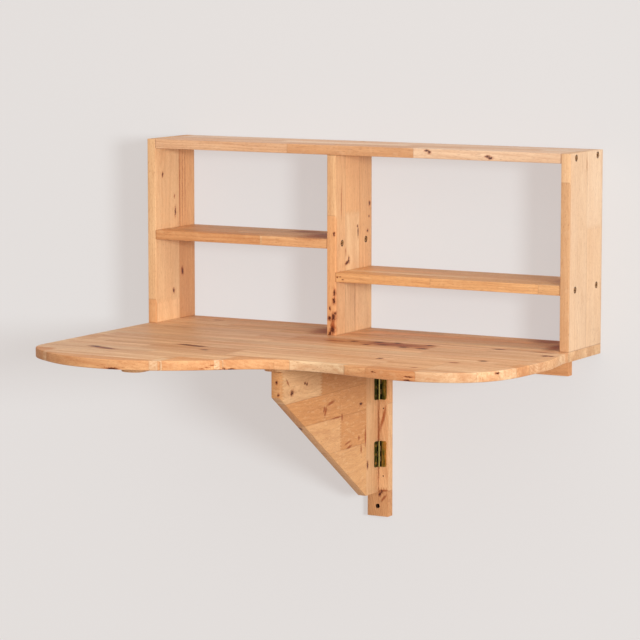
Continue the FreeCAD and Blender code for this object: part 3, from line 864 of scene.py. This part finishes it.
rightShelf = {
    "name": "rightShelfBoard", "node": "right_shelf", "along": "x", "seed": 11, "staveWidth": 42,
    "shine": 0.15, "pale": (255, 223, 174), "warm": (245, 189, 131),
    "blocks": ((-40, 182, -170, -120, 1.05), (182, 427, -170, -120, 0.8), (427, 490, -170, -120, 0.6)),
    "marks": ((-31, -160, 1, 2, 5, 1.5), (-24, -160, 1.6, 1.8, 5, 1.1), (-18, -160, -4.4, 2.4, 5, 1.1)),
    # the stain is painted shade at the right end, next to the right side
    "stainsAndShade": ((464, -60, 10, 34, 60, 12),),
}
baseBoard = {
    "name": "baseBoard", "node": "base_board", "along": "x", "seed": 13, "staveWidth": 40, "frontEase": 0.1,
    "ease": 0.8, "sharp": "none", "endLine": 0.0, "variety": 0.8, "belts": 0.3, "flecks": 0.1,
    "shine": 0.05, "pale": (255, 226, 184), "warm": (252, 189, 134),
    "blocks": ((482, 530, -170, 10, 0.0),),
    # the first stain is a real stain; the others are painted shade in the corners left of the divider and
    # left of the right side, widening towards the back
    "stainsAndShade": ((-390, -50, 0, 14, 7, 60), (-86, -80, 10, 42, 90, 12), (452, -80, 10, 28, 90, 8),
               (398, -22, 10, 52, 34, 8)),
}
boards = (leftSide, rightSide, divider, topPanel, leftShelf, rightShelf, baseBoard)


def makeBoard(board):
    own = {**boardSet, **board}
    low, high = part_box(own["node"])
    piece = addBlock(own["name"], low, high)
    grain, ease = own["along"], own["ease"] * mm
    foot, end = low[axisIndex[grain]], high[axisIndex[grain]]
    for level, width, steps in ((low.y, own["frontEase"] * mm, 3), (high.y, ease, 2)):
        bevelEdges(piece, lambda edge: runsAlong(edge, grain) and atPlane(edge, "y", level), width, steps)
    easedEnds = {"both": (), "foot": (end,), "none": (foot, end)}[own["sharp"]]
    if easedEnds:
        bevelEdges(piece, lambda edge: any(atPlane(edge, grain, level) for level in easedEnds), ease, 2)
    drillScrewHoles(piece, low, high)
    finishPiece(piece, makeWood(own["name"] + "Wood", low, high, own), "desk", [own["node"]])
    print(own["name"], "made")


# folding leaf: the wavy edge as distance in from the side and depth from the wall, in mm

leaf = {
    "node": "folding_leaf", "along": "x", "across": "y", "seed": 3, "staveWidth": 43, "blockLength": 380,
    "halfWidth": 500, "back": 160.5, "ease": 2.0, "variety": 0.6, "ragged": 7, "grain": 1.2, "belts": 0.42,
    "shine": 0.15, "pale": (255, 231, 191), "warm": (249, 198, 146), "dark": (192, 120, 72),
    "fromLeft": ((0, 566), (14, 609), (66, 652), (122, 680), (203, 694), (329, 669), (415, 616),
                 (514, 545)),
    "fromRight": ((390, 525), (280, 541), (191, 552), (99, 538), (42, 505), (2, 433), (-9.5, 353),
                  (-13, 270)),
    "blocks": ((-100, 225, -256, -190, 1.75), (-90, 243, -520, -400, 0.25), (243, 354, -520, -400, 0.6),
               (354, 500, -500, -400, 0.15), (-480, -172, -662, -584, 0.05), (-500, -438, -700, -600, 1.4),
               (-438, -172, -700, -656, 1.25), (-172, -154, -700, -620, 0.0), (-154, -66, -700, -590, 1.05),
               (-66, -55, -640, -560, 0.0), (-55, 32, -640, -520, 1.15), (32, 68, -560, -520, 1.2),
               (68, 194, -580, -520, 0.05), (194, 243, -580, -520, 1.0), (243, 354, -580, -520, 1.45),
               (354, 466, -560, -500, 0.0), (466, 492, -520, -440, 0.35), (486, 530, -457, -408, 0.0),
               (486, 530, -408, -360, 1.0), (486, 530, -360, -300, 0.3), (486, 530, -300, -234, 0.6),
               (-350, -180, -250, -190, 0.3), (-520, -350, -250, -200, 0.5), (-470, -230, -400, -330, 0.1),
               (-480, -300, -510, -460, 0.2)),
    "marks": ((-384, -540, 10, 19, 8, 8, 10), (-350, -552, 10, 14, 6, 8, 12), (-236, -429, 10, 17, 7, 8, 4),
              (-205, -437, 10, 19, 8, 8, 8), (-162, -479, 10, 9, 6, 8), (92, -204, 10, 12, 9, 8),
              (118, -236, 10, 12, 9, 8), (132, -197, 10, 9, 8, 8), (170, -246, 10, 11, 8, 8),
              (215, -249, 10, 13, 9, 8), (206, -198, 10, 9, 7, 8), (38, -214, 10, 10, 8, 8),
              (84, -247, 10, 8, 7, 8), (356, -180, 10, 13, 6, 8), (403, -352, 10, 9, 8, 8),
              (207, -416, 10, 7, 8, 8), (480, -226, 10, 9, 9, 8), (492, -226, 10, 6, 6, 8),
              (-247, -691, -8, 15, 20, 2.2), (-49, -587, -8, 3, 14, 2.2), (-39, -579, -8.6, 6, 14, 1.8),
              (342, -550, -1, 10, 15, 1.2), (338, -550, -8, 10, 15, 1.3), (263, -548, 3, 5, 14, 1.2),
              (488, -461, 5, 2.4, 8, 2.2)),
    "stainsAndShade": ((-356, -552, 10, 42, 12, 8, 12), (-222, -434, 10, 44, 10, 8, 6), (140, -222, 10, 90, 24, 8),
               (364, -400, 10, 14, 9, 8), (453, -182, 10, 32, 6, 8), (0, -226, 10, 34, 9, 8),
               (-85, -616, -7, 6, 15, 1.2), (-76, -608, -4, 6, 15, 1.2), (-67, -601, 0, 6, 15, 1.2),
               (-60, -596, -9, 10, 15, 1.4), (325, -497, 10, 10, 6, 8)),
}


def smoothSlopes(points, first, last, sweeps=60):
    # slopes of the smoothest curve through the points, by the length of each chord
    chords = [(b - a).length for a, b in zip(points, points[1:])]
    slopes = [first] + [Vector((0, 0, 0)) for point in points[1:-1]] + [last]
    for sweep in range(sweeps):
        for i in range(1, len(points) - 1):
            before, after = chords[i - 1], chords[i]
            behind, ahead = points[i] - points[i - 1], points[i + 1] - points[i]
            pull = behind * (after / before) + ahead * (before / after)
            rest = slopes[i - 1] * after + slopes[i + 1] * before
            slopes[i] = (pull * 3 - rest) / (2 * (before + after))
    return slopes, chords


def leafOutline():
    half = leaf["halfWidth"]
    left = [Vector((inward - half, -depth, 0)) for inward, depth in leaf["fromLeft"]]
    right = [Vector((half - inward, -depth, 0)) for inward, depth in leaf["fromRight"]]
    points = left + right + [Vector((half, -leaf["back"], 0))]
    slopes, chords = smoothSlopes(points, Vector((0, -1, 0)), Vector((0, 1, 0)))
    curve = bpy.data.curves.new("leafOutline", "CURVE")
    curve.dimensions = "2D"
    curve.fill_mode = "BOTH"
    curve.resolution_u = 16
    spline = curve.splines.new("BEZIER")
    spline.bezier_points.add(len(points))
    spline.use_cyclic_u = True
    # the last corner, at the back on the left, closes the outline with straight runs
    points.append(Vector((-half, -leaf["back"], 0)))
    slopes.append(Vector((0, 0, 0)))
    chords.append(0)
    for i, (bezier, point) in enumerate(zip(spline.bezier_points, points)):
        bezier.handle_left_type = bezier.handle_right_type = "FREE"
        before = chords[i - 1] if i else 0
        after = chords[i] if i < len(chords) else 0
        bezier.co = point * mm
        bezier.handle_left = (point - slopes[i] * before / 3) * mm
        bezier.handle_right = (point + slopes[i] * after / 3) * mm
    return curve


def makeLeaf():
    low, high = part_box(leaf["node"])
    curve = leafOutline()
    curve.extrude = (high.z - low.z) / 2
    piece = bpy.data.objects.new("foldingLeaf", curve)
    bpy.context.scene.collection.objects.link(piece)
    piece.location.z = (low.z + high.z) / 2
    pick(piece)
    bpy.ops.object.convert(target="MESH")
    piece = nameNew("foldingLeaf")
    openMesh()
    bpy.ops.mesh.remove_doubles(threshold=0.02 * mm)
    bpy.ops.mesh.dissolve_limited(angle_limit=math.radians(0.5), delimit={"NORMAL"})
    closeMesh(outwards=True)
    back = -leaf["back"] * mm

    def onRim(edge):
        # level edges at the top and bottom of the rim, but not along the seam at the back
        faces = edge.link_faces
        if len(faces) != 2 or faces[0].normal.angle(faces[1].normal) < math.radians(60):
            return False
        level = abs(edge.verts[0].co.z - edge.verts[1].co.z) < 0.01 * mm
        return level and not atPlane(edge, "y", back)

    bevelEdges(piece, onRim, leaf["ease"] * mm, 3)
    drillScrewHoles(piece, low, high)
    finishPiece(piece, makeWood("leafWood", low, high, leaf), "desk", [leaf["node"]])
    print("folding leaf made")


# strips under the leaf, with a rounded nose; sizes in mm

stiffener = {
    "along": "y", "across": "x", "staveWidth": 50, "pinKnots": 0.08, "nose": 20, "noseSteps": 10, "ease": 1,
    "seeds": {"left": 21, "middle": 22, "right": 23},
}


def makeStiffener(side, seed):
    node = "stiffener_" + side
    low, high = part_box(node)
    piece = addBlock(side + "Stiffener", low, high)
    nose = stiffener["nose"] * mm
    bevelEdges(
        piece, lambda edge: runsAlong(edge, "z") and atPlane(edge, "y", low.y), nose, stiffener["noseSteps"])
    bevelEdges(piece, lambda edge: atPlane(edge, "z", low.z), stiffener["ease"] * mm, 2)
    drillScrewHoles(piece, low, high)
    wood = makeWood(side + "StiffenerWood", low, high, {**stiffener, "seed": seed})
    finishPiece(piece, wood, "desk", [node])
    print(side, "stiffener made")


# rail and batten on the wall: each hole is the middle of its mouth, its direction, radius and depth in mm
# easedFoot: whether the lower end is eased too, as the front is

rail = {
    "node": "wall_rail", "along": "x", "across": "z", "seed": 31, "staveWidth": 50, "blockLength": 420,
    "ease": 1.0, "easedFoot": False, "pinKnots": 0.1,
    "blocks": ((250, 450, -40, 40, 1.4),),
    "holes": [((x, -20, 0), (0, 1, 0), 5, 30) for x in (-390, -130, 130, 390)]
    + [((x, -10, -25), (0, 0, 1), 6, 20) for x in (-300, -80, 80, 300)],
}
batten = {
    "node": "wall_batten", "along": "z", "across": "x", "seed": 33, "staveWidth": 60, "blockLength": 900,
    "ease": 1.0, "easedFoot": True, "lean": 0.22, "swirl": 6,
    # the top block is darker, partly as painted shade under the leaf
    "blocks": ((-110, 10, -40, 20, 1.1), (-300, -110, -40, 20, 0.55), (-370, -300, -40, 20, 1.4)),
    "marks": ((-311, -3, -10, 6, 3.4, 5), (-306, 1, -10, 4, 3, 5)),
    # the last stain is painted shade in the gap beside the stile
    "stainsAndShade": ((-303, 8, -10, 3, 12, 5), (-146, 4, -10, 36, 4, 5, -15), (-320, 6, -10, 12, 3, 5, -40),
               (-200, -6.4, -10, 130, 2.4, 5)),
    "holes": [((-8.5, -20, z), (0, 1, 0), 5, 30) for z in (-47, -338)]
    + [((4.7, -20, z), (0, 1, 0), 1.5, 12) for z in (-124.5, -271.5)],
}


def makeWallStrip(name, strip, boreShade):
    low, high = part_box(strip["node"])
    piece = addBlock("wall" + name, low, high)

    def eased(edge):
        return atPlane(edge, "y", low.y) or strip["easedFoot"] and atPlane(edge, "z", low.z)

    bevelEdges(piece, eased, strip["ease"] * mm, 2)
    cutRoundHoles(piece, strip["holes"])
    wood = makeWood(name.lower() + "Wood", low, high, strip)
    finishPiece(piece, wood, "desk", [strip["node"]])
    shadeBores(piece, strip["holes"], boreShade)
    print(piece.name, "made")


# swinging bracket: noseHeight is how deep the panel is at its front end, in mm

bracket = {
    "noseHeight": 52.5, "ease": 1.0,
    "panel": {
        "along": "y", "across": "z", "seed": 41, "staveWidth": 58, "blockLength": 230, "swirl": 26,
        "grain": 0.75, "flecks": 0.22, "warm": (225, 166, 108),
        "blocks": ((-430, -270, -64, 10, 0.35), (-450, -430, -64, 10, 0.9), (-270, -60, -64, 10, 1.45),
                   (-430, -190, -120, -64, 1.35), (-190, -60, -120, -64, 1.45),
                   (-400, -187, -192, -120, 0.7), (-187, -60, -192, -120, 1.5),
                   (-320, -60, -320, -192, 0.75)),
        "marks": ((-393, -44, 10, 7, 5.5, 6), (-339, -30, 10, 4, 2.6, 6), (-331, -33, 10, 3.4, 3, 6),
                  (-99, -105, 10, 7, 3, 6), (-442, -17, 2.5, 5, 4, 3), (-442, -42, 6.5, 5, 3, 2.4),
                  (-330, -127, -6, 7, 7, 3)),
        "stainsAndShade": ((-253, -101, 10, 5, 13, 6, 24), (-259, -96, 10, 4, 9, 6, 24), (-182, -122, 10, 4, 10, 6),
                   (-206, -120, 10, 26, 2.4, 6), (-78.8, -179, 10, 4, 25, 6), (-108, -177, 10, 4, 6, 6),
                   (-98, -202, 10, 4, 10, 6), (-156, -180, 10, 16, 3, 6, -12),
                   (-150, -190, 10, 14, 3, 6, -12), (-230, -86, 10, 20, 4, 6, -10),
                   (-410, -20, 10, 12, 3, 6, 50)),
    },
    "stile": {
        "along": "z", "across": "y", "seed": 43, "staveWidth": 70, "blockLength": 500, "grain": 0.8,
        # the upper block is darker, partly as painted shade under the leaf
        "blocks": ((-108, 10, -90, -10, 0.8), (-320, -108, -90, -10, 0.5)),
        "marks": ((-241, -70, -10, 9, 4, 5),),
        # the stain is painted shade in the gap by the batten
        "stainsAndShade": ((-150, -21, -10, 160, 3.6, 30),),
    },
}


def makeBracket():
    low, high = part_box("bracket_panel")
    panel = addBlock("bracketPanel", low, high)
    openMesh()
    nose = Vector((0, low.y, high.z - bracket["noseHeight"] * mm))
    heel = Vector((0, high.y, low.z))
    slope = heel - nose
    normal = Vector((0, slope.z, -slope.y))
    bpy.ops.mesh.bisect(
        plane_co=nose, plane_no=normal, use_fill=True, clear_outer=normal.z < 0, clear_inner=normal.z > 0)
    closeMesh()
    ease = bracket["ease"] * mm
    bevelEdges(panel, lambda edge: not atPlane(edge, "y", high.y) and not runsAlong(edge, "x"), ease, 2)
    wood = makeWood("panelWood", low, high, bracket["panel"])
    finishPiece(panel, wood, "bracket", ["bracket_panel"])
    low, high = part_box("bracket_stile")
    stile = addBlock("bracketStile", low, high)
    bevelEdges(stile, lambda edge: runsAlong(edge, "z") and atPlane(edge, "y", high.y), ease, 2)
    bevelEdges(stile, lambda edge: atPlane(edge, "z", low.z) or atPlane(edge, "z", high.z), ease / 2, 2)
    wood = makeWood("stileWood", low, high, bracket["stile"])
    finishPiece(stile, wood, "bracket", ["bracket_stile"])
    print("bracket made")


# metal finishes: distances in mm from the axis of the upright hinges, where full and where faded out
# the heights in metres between which painted shade darkens the gold towards the top, under the leaf, and its
# most; then painted shade for the plates on the wall and on the stile, lighter below 0

hingeZinc = {
    "barrel": (3.05, 3.15), "grooveShade": (5.0, 6.6), "grooveShadeShare": 0.92, "grooveShadeColour": (34, 30, 16),
    "glint": (0.4, 1.7), "glintShare": 0.75, "glintColour": (216, 196, 112), "glintAside": (0.872, 0.489, 0.0),
    "paintedShadeBetween": (-0.24, -0.16), "depth": 0.45, "wallPlateShade": -0.2, "stilePlateShade": 0.5,
    "stops": ((0.3, (104, 104, 46)), (0.6, (168, 140, 66)), (0.8, (206, 150, 70))),
}
# the blackened steel also paints shade in the cross of each screw and round the head's rim
screwFinishes = {
    "bronzedSteel": {"dull": (140, 88, 44), "rubbed": (232, 178, 110), "metallic": 0.4},
    "blackenedSteelAndShade": {"dull": (26, 15, 10), "rubbed": (48, 30, 20), "metallic": 0.3},
}


def makeZincGroup():
    # yellow zinc: gold that drifts towards olive and rust, with darker stains; its Depth input is painted
    # shade, which shifts it darker
    outputs = {"Color": "Color", "Roughness": "Float", "Height": "Float"}
    tree, given, result = newGroup("yellowZinc", {"Vector": "Vector", "Depth": 0.0}, outputs)
    drift = noise(tree, given["Vector"], (120.0, 120.0, 26.0))
    shade = calc(tree, "SUBTRACT", stretch(tree, drift, 0.32, 0.68), given["Depth"])
    ramp = addNode(tree, "ValToRGB", {"Fac": shade})
    stops = ramp.color_ramp.elements
    stops[0].color, stops[1].color = tint(66, 70, 30), tint(214, 160, 84)
    for position, colour in hingeZinc["stops"]:
        stops.new(position).color = tint(*colour)
    stain = stretch(tree, noise(tree, given["Vector"], 260.0, 3.0, 0.6), 0.52, 0.75)
    colour = mixColour(tree, "MULTIPLY", times(tree, stain, 0.5), ramp.outputs["Color"], tint(110, 96, 52))
    feedAll(tree, result, {
        "Color": colour, "Roughness": stretch(tree, drift, 0.3, 0.7, 0.28, 0.45),
        "Height": noise(tree, given["Vector"], (900.0, 900.0, 60.0)),
    })
    return tree


def makeZinc(name, zincGroup, axis=None, shade=0.0):
    # axis: where an upright hinge pin stands; a painted highlight runs down its barrel, and painted shade
    # lies in the grooves beside it
    material, tree, shader = startMaterial(name)
    place = addNode(tree, "TexCoord").outputs["Object"]
    # painted shade: the given share, and with an axis more towards the top, where the leaf shades the hinges
    depth = shade
    if axis:
        lower = stretch(tree, split(tree, place)[2], *hingeZinc["paintedShadeBetween"], 0.0, hingeZinc["depth"])
        depth = calc(tree, "ADD", lower, shade)
    finish = placeGroup(tree, zincGroup, {"Vector": place, "Depth": depth})
    colour = finish["Color"]
    if axis:
        offset = vectorCalc(tree, "SUBTRACT", place, tuple(axis))
        offset = vectorCalc(tree, "MULTIPLY", offset, (1.0, 1.0, 0.0))
        away = vectorCalc(tree, "LENGTH", offset)
        barrel = stretch(tree, away, *metres(hingeZinc["barrel"]), 1.0, 0.0)
        # a painted highlight: a bright line down the side of the barrel that faces the room
        aside = calc(tree, "ABSOLUTE", vectorCalc(tree, "DOT_PRODUCT", offset, hingeZinc["glintAside"]))
        glint = times(tree, barrel, stretch(tree, aside, *metres(hingeZinc["glint"]), 1.0, 0.0, True))
        grooveShade = stretch(tree, away, *metres(hingeZinc["grooveShade"]), 1.0, 0.0, True)
        for kind, mask in (("grooveShade", grooveShade), ("glint", glint)):
            share = times(tree, mask, hingeZinc[kind + "Share"])
            colour = mixColour(tree, "MIX", share, colour, tint(*hingeZinc[kind + "Colour"]))
    bump = addNode(tree, "Bump", {"Height": finish["Height"], "Strength": 0.2, "Distance": 0.0001})
    feedAll(tree, shader.inputs, {
        "Base Color": colour, "Roughness": finish["Roughness"],
        "Normal": bump.outputs["Normal"], "Metallic": 0.8,
    })
    return material


def makeScrewSteel(name, dull, rubbed, metallic):
    # screw steel, brighter where the driver has rubbed it
    material, tree, shader = startMaterial(name)
    place = addNode(tree, "TexCoord").outputs["Object"]
    rub = stretch(tree, noise(tree, place, 420.0, 3.0, 0.6), 0.42, 0.68)
    feedAll(tree, shader.inputs, {
        "Base Color": mixColour(tree, "MIX", rub, tint(*dull), tint(*rubbed)),
        "Roughness": stretch(tree, rub, 0.0, 1.0, 0.55, 0.34), "Metallic": metallic,
    })
    return material


def makeScrews():
    finishes = [makeScrewSteel(name, **finish) for name, finish in screwFinishes.items()]
    masters = {kind: makeScrew(kind, *finishes) for kind in screwSizes}
    for row in screwRows:
        twins = []
        for count, head in enumerate(row["heads"]):
            twins.append(copyPiece(masters[row["kind"]], row["name"], screwMatrix(head, row["into"], count)))
        finishPiece(joinPieces(row["name"], twins), None, "desk", [row["node"]])
    for master in masters.values():
        bpy.data.objects.remove(master)
    print("screws made")


def dressMetalNodes():
    group = makeZincGroup()
    zinc = makeZinc("zinc", group)
    low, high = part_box("upper_hinge_pin")
    # the plates on the stile take more painted shade than those on the wall
    wallZinc = makeZinc("wallZinc", group, (low + high) / 2, hingeZinc["wallPlateShade"])
    stileZinc = makeZinc("stileZinc", group, (low + high) / 2, hingeZinc["stilePlateShade"])
    for name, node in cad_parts.items():
        if node.hide_render:
            continue
        upright = name.startswith(("upper", "lower", "batten", "bracket"))
        onStile = name.endswith("hinge_bracket_leaf")
        node.data.materials.clear()
        node.data.materials.append(stileZinc if onStile else wallZinc if upright else zinc)
    print("metal finished")


# studio: a pale wall and floor that are open from behind, a key light from the front right, a soft one above
# wallHoles: x and z of the plug holes that the screw holes of the desk lead to, in mm; the wall is painted
# with a dark disc of shade at each

studio = {
    "wallColour": (216, 222, 225), "floorColour": (228, 224, 224), "skyColour": (227, 224, 224),
    "evenColour": (230, 223, 221), "evenShare": 0.68, "planeSize": 16, "floorLevel": -0.8,
    "wallHoles": ((-8.5, -47), (-8.5, -338)), "holeRim": (5.4, 5.6), "holeShadeColour": (24, 14, 10),
    "fill": 0.41, "fillColour": (255, 231, 206),
    "keyPlace": (5.48, -5.16, 1.0), "keyAim": (0.0, -0.2, 0.1), "keyPower": 8.0, "keyWidth": 1.3,
    "keyColour": (250, 254, 255), "softFrom": (0.6, -0.3, 1.0), "softPower": 1.52, "softAngle": 120,
}


def makeBackdrop(name, colour, location, rotation, holes):
    clearSelection()
    bpy.ops.mesh.primitive_plane_add(size=studio["planeSize"], location=location, rotation=rotation)
    piece = nameNew(name)
    material, tree, shader = startMaterial(name + "Paint")
    place = addNode(tree, "TexCoord").outputs["Object"]
    paint, shown = tint(*colour), tint(*studio["evenColour"])
    # each plug hole is painted shade: a dark disc in the paint and in its even part
    for x, z in holes:
        away = vectorCalc(tree, "LENGTH", vectorCalc(tree, "SUBTRACT", place, metres((x, 1, z))))
        holeShade = stretch(tree, away, *metres(studio["holeRim"]), 1.0, 0.0)
        dark = tint(*studio["holeShadeColour"])
        paint, shown = [mixColour(tree, "MIX", holeShade, tone, dark) for tone in (paint, shown)]
    feedAll(tree, shader.inputs, {"Base Color": paint, "Roughness": 0.9, "Specular IOR Level": 0.1})
    # part of the paint shows evenly, so that shadows on it stay light
    even = addNode(tree, "Emission", {"Color": shown, "Strength": 1.0}).outputs[0]
    painted = addNode(tree, "MixShader", {0: studio["evenShare"], 1: shader.outputs[0], 2: even}).outputs[0]
    behind = addNode(tree, "NewGeometry").outputs["Backfacing"]
    clear = addNode(tree, "BsdfTransparent").outputs[0]
    mixed = addNode(tree, "MixShader", {0: behind, 1: painted, 2: clear}).outputs[0]
    feed(tree, tree.nodes["Material Output"].inputs["Surface"], mixed)
    piece.data.materials.append(material)
    piece.visible_diffuse = False
    piece.visible_shadow = False


def makeLamp(name, kind, location, aim):
    lamp = bpy.data.lights.new(name, kind)
    holder = bpy.data.objects.new(name, lamp)
    bpy.context.scene.collection.objects.link(holder)
    holder.location = location
    holder.rotation_euler = (Vector(aim) - Vector(location)).to_track_quat("-Z", "Y").to_euler()
    return lamp, holder


def makeStudio():
    upright = (math.radians(90), 0, 0)
    makeBackdrop("wall", studio["wallColour"], (0, 0.001, 0), upright, studio["wallHoles"])
    makeBackdrop("floor", studio["floorColour"], (0, 0, studio["floorLevel"]), (0, 0, 0), ())
    key, holder = makeLamp("key", "AREA", studio["keyPlace"], studio["keyAim"])
    # kept out of the sheen, which would burn out the level tops seen from behind
    holder.visible_glossy = False
    key.shape = "DISK"
    key.size = studio["keyWidth"]
    key.color = tint(*studio["keyColour"])[:3]
    # falloff is left out, so that the lamp lights both ends of the desk alike
    key.use_nodes = True
    key.energy = 1.0
    glow = key.node_tree.nodes["Emission"]
    even = addNode(key.node_tree, "LightFalloff", {"Strength": studio["keyPower"]}).outputs["Constant"]
    feed(key.node_tree, glow.inputs["Strength"], even)
    soft, holder = makeLamp("soft", "SUN", studio["softFrom"], (0, 0, 0))
    soft.energy = studio["softPower"]
    soft.angle = math.radians(studio["softAngle"])
    # the camera, glass and metal see a pale sky, and the fill alone lights the object
    world = bpy.data.worlds.new("studioWorld")
    bpy.context.scene.world = world
    world.use_nodes = True
    tree = world.node_tree
    fill = tree.nodes["Background"]
    feedAll(tree, fill.inputs, {"Color": tint(*studio["fillColour"]), "Strength": studio["fill"]})
    seen = addNode(tree, "Background", {"Color": tint(*studio["skyColour"]), "Strength": 1.0}).outputs[0]
    ray = addNode(tree, "LightPath").outputs
    mirrored = calc(tree, "MAXIMUM", ray["Is Glossy Ray"], ray["Is Transmission Ray"])
    direct = calc(tree, "MAXIMUM", ray["Is Camera Ray"], mirrored)
    mixed = addNode(tree, "MixShader", {0: direct, 1: fill.outputs[0], 2: seen}).outputs[0]
    feed(tree, tree.nodes["World Output"].inputs["Surface"], mixed)
    bpy.context.scene.view_settings.view_transform = "Standard"
    print("studio lit")


def writeSizes():
    print("scene built")


makeCamera()
for board in boards:
    makeBoard(board)
makeLeaf()
for side, seed in stiffener["seeds"].items():
    makeStiffener(side, seed)
boreShade = makeBoreShade()
makeWallStrip("Rail", rail, boreShade)
makeWallStrip("Batten", batten, boreShade)
makeBracket()
makeScrews()
dressMetalNodes()
makeStudio()
writeSizes()
